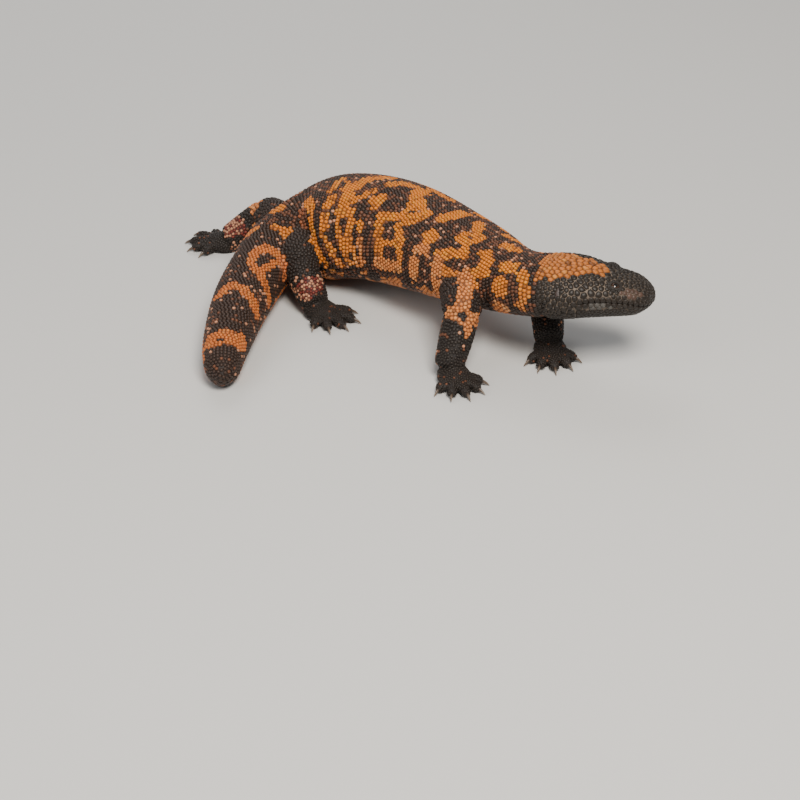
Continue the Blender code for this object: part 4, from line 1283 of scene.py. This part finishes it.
FLESH = [name for name in frame["nodes"] if not any(word in name for word in ("claw", "eye", "ear"))]
skin = new_piece("skin", pressed_points, skin_faces)
tint(skin, skin_colours())
bake_map(skin, skin_chart(skin_faces, skin_where, skin_points, skin_normals))
carried(skin, "skin", skin_finish(), *FLESH)


def bead_mesh(name, places, ahead, side, out, reach, height, colour, foot, charted, steep=1.0):
    """One joined mesh of beads: place + reach x ring's radius along the surface + height x ring's height.
    The colour goes from the foot's to the bead's own with the ring's rise, sooner where it is steep."""
    wide = reach[:, PATTERN_SIDE] * PATTERN[:, 0]
    points = places[:, None] + (wide * np.cos(PATTERN_TURN))[..., None] * ahead[:, None]
    points += (wide * np.sin(PATTERN_TURN))[..., None] * side[:, None]
    points += (height[:, None] * PATTERN[:, 1])[..., None] * out[:, None]
    rise = np.clip(PATTERN[:, 2] * np.reshape(steep, (-1, 1)), 0, 1)[..., None]
    faces = (PATTERN_FACES[None] + (np.arange(len(places)) * len(PATTERN))[:, None, None]).reshape(-1, 3)
    piece = new_piece(name, points.reshape(-1, 3), faces)
    # The foot's colour is painted shade on most beads, and the pale net on the face.
    tint(piece, (foot[:, None] + rise * (colour - foot)[:, None]).reshape(-1, 3))
    number_layer(piece, "rise", np.tile(PATTERN[:, 2], len(places)))
    ring = PATCH * PATCH_RINGS[np.append(np.repeat(np.arange(3), BEAD_SIDES), 3)]
    patch = np.stack([ring * np.cos(PATTERN_TURN), ring * np.sin(PATTERN_TURN)], axis=1)
    bake_map(piece, (charted[:, None] + patch).reshape(-1, 2)[faces])
    print(name, len(places), "beads,", len(faces), "triangles")
    return piece


BEADS = bead_finish()
bead_draw = RANDOM.uniform(0, 1, len(beads))
bead_colour = colours(beads, bead_where, bead_draw) * RANDOM.uniform(*BEAD_LIGHT, (len(beads), 1))
# Painted shade: each bead darker at its root, except where the face's pale net shows.
bead_foot = FOOT_DARK * bead_colour + FOOT_LEAST
bead_net = net_share(beads, bead_where, bead_colour)
bead_foot += (NET - bead_foot) * bead_net
bead_chart = root_chart(beads, bead_where, bead_where.leg, bead_out)
BEAD_ROWS = (beads, bead_ahead, bead_side, bead_out, bead_reach, bead_height, bead_colour, bead_foot,
             bead_chart, 1 + NET_STEEPER * bead_net)
HERDS = {  # which beads each piece holds
    "beads_head": bead_where.body(end=80),
    "beads_chest": bead_where.body(80, 172),
    "beads_belly": bead_where.body(172, 262),
    "beads_tail": bead_where.body(262),
    "beads_front_legs": bead_where.on_leg & (bead_where.leg < 2),
    "beads_hind_legs": bead_where.leg >= 2,
}
for name, here in HERDS.items():
    carried(bead_mesh(name, *(row[here] for row in BEAD_ROWS)), "skin", BEADS)

# %% [markdown]
# ## Eyes and lids
# The eyeball is small, dark and wet. Its iris is brown, so dark that the round pupil hardly shows. Two
# thick lids close on it along an almond, each edged with a row of tiny beads. The lids are a ring whose
# inner edge lies on the ball. It swells to a rim and runs out under the beads of the face.

# %% Eyes
EYE_BALL, PUPIL, PUPIL_EDGE = 2.95, 1.25, 0.2  # radius, radius, and over what length the pupil begins, mm
LID_EDGE = (2.55, 1.85)  # half length and half height of the opening between the lids
LID_OUTER = (LID_FOOT * 1.10, LID_FOOT * 0.98)
LID_SIDES, LID_RINGS = 48, 12
LID_LEVEL, LID_SWELL, LID_SINK = 0.25, 0.35, 0.75  # share of the width before the fall, swelling, end, mm
LID_TUCK, LID_PALER = 0.9, 0.008  # how far the edge turns in under itself onto the ball, and a lighter colour
LID_BEADS = ((2, 20, 0.42), (5, 20, 0.56), (8, 18, 0.74))  # ring, number of beads, their radius


def eye_finish():
    """Dark brown iris round a black pupil, under a clear wet coat."""
    made = Finish("wet_eye", Roughness=0.06, IOR=1.38, Coat_Weight=1.0, Coat_Roughness=0.02)
    iris = made.mix(made.noise(2600.0, 3.0), (0.012, 0.006, 0.004), (0.075, 0.034, 0.016))
    return made.done(Base_Color=made.mix(made.attribute("pupil", "Fac"), iris, (0.003, 0.003, 0.003)))


def eye_mesh(name, centre, out, ahead, up):
    """A ball with its pole at the pupil: centre + radius x (cos a out + sin a (cos b ahead + sin b up))."""
    points, faces = ellipsoid(centre, np.array([ahead, up, out]) * EYE_BALL, 32, 20)
    piece = new_piece(name, points, faces)
    away = np.linalg.norm(points - centre - out * EYE_BALL, axis=1)
    number_layer(piece, "pupil", np.clip((PUPIL - away) / PUPIL_EDGE, 0, 1))
    return piece


def lid_mesh(name, spot, centre, out, ahead, up):
    """Rings from the almond outwards. Along a ring the angle runs round the eye. The height starts on the
    ball, sqrt(radius^2 - distance^2), swells by a sine and falls to just under the skin."""
    turn, part = round_turns(LID_SIDES)[None], np.linspace(0, 1, LID_RINGS)[:, None]
    ovals = (LID_EDGE, LID_OUTER)
    inner, outer = (np.stack([long * np.cos(turn), high * np.sin(turn)]) for long, high in ovals)
    flat = inner + (outer - inner) * part
    start = np.sqrt(EYE_BALL**2 - (inner**2).sum(axis=0)) - EYE_DEEP
    falling = np.cos((part - LID_LEVEL) / (1 - LID_LEVEL) * math.pi) * 0.5 + 0.5
    fall = np.where(part < LID_LEVEL, 1.0, falling)
    rim = LID_SWELL * np.sin(np.clip(part / 0.5, 0, 1) * math.pi) * (1 + 0.25 * np.sin(turn))
    height = start * fall + rim - LID_SINK * (1 - fall)
    points = spot + flat[0][..., None] * ahead + flat[1][..., None] * up + height[..., None] * out
    points = np.concatenate([centre + LID_TUCK * (points[:1] - centre), points])
    every = points.reshape(-1, 3)
    piece = new_piece(name, every, ring_faces(len(points), LID_SIDES))
    tint(piece, colours(every, Where(every), np.full(len(every), 0.5)) + LID_PALER)
    return piece, points[1:]


WET_EYE, SKIN_BETWEEN = eye_finish(), bpy.data.materials["skin_between"]
rim_rows = []
for side, sign in SIDES.items():
    spot, out, ahead, up = skin_spot(EYE, sign)
    centre = spot - out * EYE_DEEP
    carried(eye_mesh("eye_ball_" + side, centre, out, ahead, up), "eye", WET_EYE, "eye_" + side)
    lids, rings = lid_mesh("lids_" + side, spot, centre, out, ahead, up)
    carried(lids, "skin", SKIN_BETWEEN)
    for ring, count, radius in LID_BEADS:
        picked = rings[ring][(np.arange(count) * LID_SIDES // count + ring) % LID_SIDES]
        rim_rows.append((picked, np.full((count, 3), out), np.full(count, radius)))
print("eyes:", list(SIDES))

# %% [markdown]
# ## Ears and nostrils
# The ear is an upright slit with the drum at the bottom of a shallow cup. The drum is a thin dark membrane
# that bulges a little. A ring of very small beads stands on the rim. The nostril is a round hole in one
# scale, edged with a raised ring, and dark inside.

# %% Ears and nostrils
DRUM_AXES, DRUM_DEEP = (EAR_HALF[0] * 0.95, EAR_HALF[1] * 0.95, 0.5), 1.7
EAR_BEADS, EAR_BEAD = 22, 0.55  # number round an ear, and radius
EAR_RIM = (EAR_HALF[0] + 0.35, EAR_HALF[1] + 0.3)
NOSTRIL_RING, NOSTRIL_THICK, NOSTRIL_DEEP, NOSTRIL_TONE = 1.0, 0.42, 0.55, 0.05
RIM_LIGHTER, RIM_PALER = 1.25, 0.01  # the rim's beads are this many times as light, and paler by this
# The rim beads' roots are painted half as light as the beads: painted shade round each one.
RIM_DOME, RIM_FOOT = 0.75, 0.5  # height as a share of the radius, colour at the root as a share of the bead's


def drum_finish():
    """Thin, dark, slightly moist membrane, finely mottled."""
    made = Finish("ear_drum")
    grain = made.noise(1100.0, 4.0)
    return made.done(Base_Color=made.mix(grain, (0.016, 0.010, 0.009), (0.06, 0.036, 0.030)),
                     Roughness=0.42 + 0.2 * grain)


def ring_mesh(name, centre, out, ahead, up, radius, thick, turns=24, sides=10):
    """A small torus: centre + (radius + thick cos b) x the way at angle a + thick sin b outwards."""
    a, b = round_turns(turns)[:, None, None], round_turns(sides)[None, :, None]
    way = np.cos(a) * ahead + np.sin(a) * up
    points = centre + way * (radius + thick * np.cos(b)) + out * thick * np.sin(b)
    return new_piece(name, points.reshape(-1, 3), ring_faces(turns + 1, sides) % (turns * sides))


DRUM = drum_finish()
for side, sign in SIDES.items():
    spot, out, ahead, up = skin_spot(EAR, sign)
    axes = np.array([ahead, up, out]) * np.array(DRUM_AXES)[:, None]
    drum = new_piece("ear_drum_" + side, *ellipsoid(spot - out * DRUM_DEEP, axes, 28, 14))
    carried(drum, "ear", DRUM, "ear_" + side)
    turn = np.arange(EAR_BEADS) / EAR_BEADS * 2 * math.pi
    rim = spot + np.outer(np.cos(turn) * EAR_RIM[0], ahead) + np.outer(np.sin(turn) * EAR_RIM[1], up)
    rim_rows.append((on_skin(rim), np.full((EAR_BEADS, 3), out), np.full(EAR_BEADS, EAR_BEAD)))
    spot, out, ahead, up = skin_spot(NOSTRIL, sign)
    spot = spot - out * NOSTRIL_DEEP
    ring = ring_mesh("nostril_" + side, spot, out, ahead, up, NOSTRIL_RING, NOSTRIL_THICK)
    tint(ring, np.full((len(ring.data.vertices), 3), NOSTRIL_TONE))
    carried(ring, "skin", SKIN_BETWEEN)


def rim_beads():
    """The tiny round beads on lids and ear rims, as one piece."""
    places, out, radius = (np.concatenate(rows) for rows in zip(*rim_rows))
    where = Where(places)
    ahead = unit(where.ahead - (where.ahead * out).sum(axis=1, keepdims=True) * out)
    colour = colours(places, where, RANDOM.uniform(0.1, 0.9, len(places))) * RIM_LIGHTER + RIM_PALER
    charted = root_chart(places, where, np.full(len(places), -1), out)
    reach = np.repeat(radius[:, None], BEAD_SIDES, axis=1)
    # RIM_FOOT darkens each root: painted shade.
    return bead_mesh("beads_rims", places, ahead, np.cross(out, ahead), out, reach, radius * RIM_DOME, colour,
                     RIM_FOOT * colour, charted)


carried(rim_beads(), "skin", BEADS)

# %% [markdown]
# ## Claws
# Each toe ends in a claw that is curved, higher than wide and dark at its root, and turns paler and clearer
# towards the tip. It is a tapered tube along a falling curve, in the place of the plain one.

# %% Claws
CLAW_LONG, CLAW_RADIUS, CLAW_ROOT, CLAW_RISE, CLAW_DROP = 5.6, 1.35, 1.6, 0.5, 2.4
CLAW_THIN, CLAW_TIP = 0.8, 0.86  # width as a share of the height, and how much thinner the tip is
CLAW_LOWEST = 0.02


def claw_finish():
    """Horn: dark brown at the root, paler to the tip, worn in fine clouds."""
    made = Finish("claw_horn", Coat_Weight=0.2, Coat_Roughness=0.2)
    grain = made.noise(500.0, 4.0, 0.6)
    horn = made.mix(made.attribute("tip", "Fac"), (0.035, 0.022, 0.016), (0.20, 0.13, 0.08))
    return made.done(Base_Color=made.mix(0.5 * grain, horn, (0.02, 0.014, 0.01)),
                     Roughness=0.28 + 0.25 * grain)


def claw_mesh(name, tip, out):
    """Rings along a path that runs out evenly and falls with the square of the length."""
    step = np.linspace(0, 1, 5)[:, None]
    rise = np.array([0, 0, 1.0]) * (CLAW_RISE - CLAW_DROP * step**2)
    path = tip + out * (CLAW_LONG * step - CLAW_ROOT) + rise
    size = CLAW_RADIUS * (1 - CLAW_TIP * step**1.5)
    points, faces = closed_tube(Tube(np.hstack([path, size * CLAW_THIN, size, size])), 0.55, 12, 0.0)
    points[:, 2] = np.maximum(points[:, 2], CLAW_LOWEST)
    piece = new_piece(name, points, faces)
    number_layer(piece, "tip", np.clip(((points - tip) @ out + 0.5) / (CLAW_LONG - 1.2), 0, 1))
    return piece


HORN = claw_finish()
for leg in ALL_LEGS:
    for number, ((_, _, tip), out) in enumerate(leg.toes, 1):
        carried(claw_mesh(f"horn_{leg.name}_{number}", tip, out), "horn", HORN, f"{leg.name}_claw_{number}")
print("claws:", 5 * len(ALL_LEGS))

# %% [markdown]
# ## Camera, floor and light
# The camera looks down by 31 degrees from 1.5 m away, as the photograph's does.

# %% Camera, floor and light
LENS, SENSOR = 108.0, 36.0  # mm
CAMERA_PLACE, CAMERA_TILT = (-0.00453, -1.30626, 0.72168), 59.0  # m, and degrees up from straight down
FLOOR_HALF = 4e3  # mm

camera = bpy.data.objects.new("camera", bpy.data.cameras.new("camera"))
camera.data.lens, camera.data.sensor_width = LENS, SENSOR
camera.location = CAMERA_PLACE
camera.rotation_euler = (math.radians(CAMERA_TILT), 0.0, 0.0)
bpy.context.scene.collection.objects.link(camera)
bpy.context.scene.camera = camera

corners = FLOOR_HALF * np.array([[-1.0, -1, 0], [1, -1, 0], [1, 1, 0], [-1, 1, 0]])
floor = new_piece("floor", corners, np.array([[0, 1, 2, 3]]), boxed=False)
floor.data.materials.append(Finish("pale_floor", Base_Color=(0.62, 0.61, 0.59, 1.0), Roughness=0.8).material)


def lamp(name, place, size, watts, colour=(1.0, 1.0, 1.0)):
    """A square area lamp, turned to the middle of the part."""
    light = bpy.data.lights.new(name, "AREA")
    light.size, light.energy, light.color = size, watts, colour
    made = bpy.data.objects.new(name, light)
    made.location = place
    made.rotation_euler = (-Vector(place)).to_track_quat("-Z", "Y").to_euler()
    bpy.context.scene.collection.objects.link(made)


lamp("key", (0.25, -0.9, 1.35), 0.6, 36.0, (1.0, 0.95, 0.88))
lamp("fill", (-1.1, -0.8, 0.8), 1.2, 7.0)
lamp("rim", (-0.3, 1.2, 1.0), 0.8, 8.0)
world = bpy.data.worlds.new("studio")
bpy.context.scene.world = world
world.use_nodes = True
world.node_tree.nodes["Background"].inputs["Color"].default_value = (0.85, 0.87, 0.9, 1.0)
world.node_tree.nodes["Background"].inputs["Strength"].default_value = 0.26
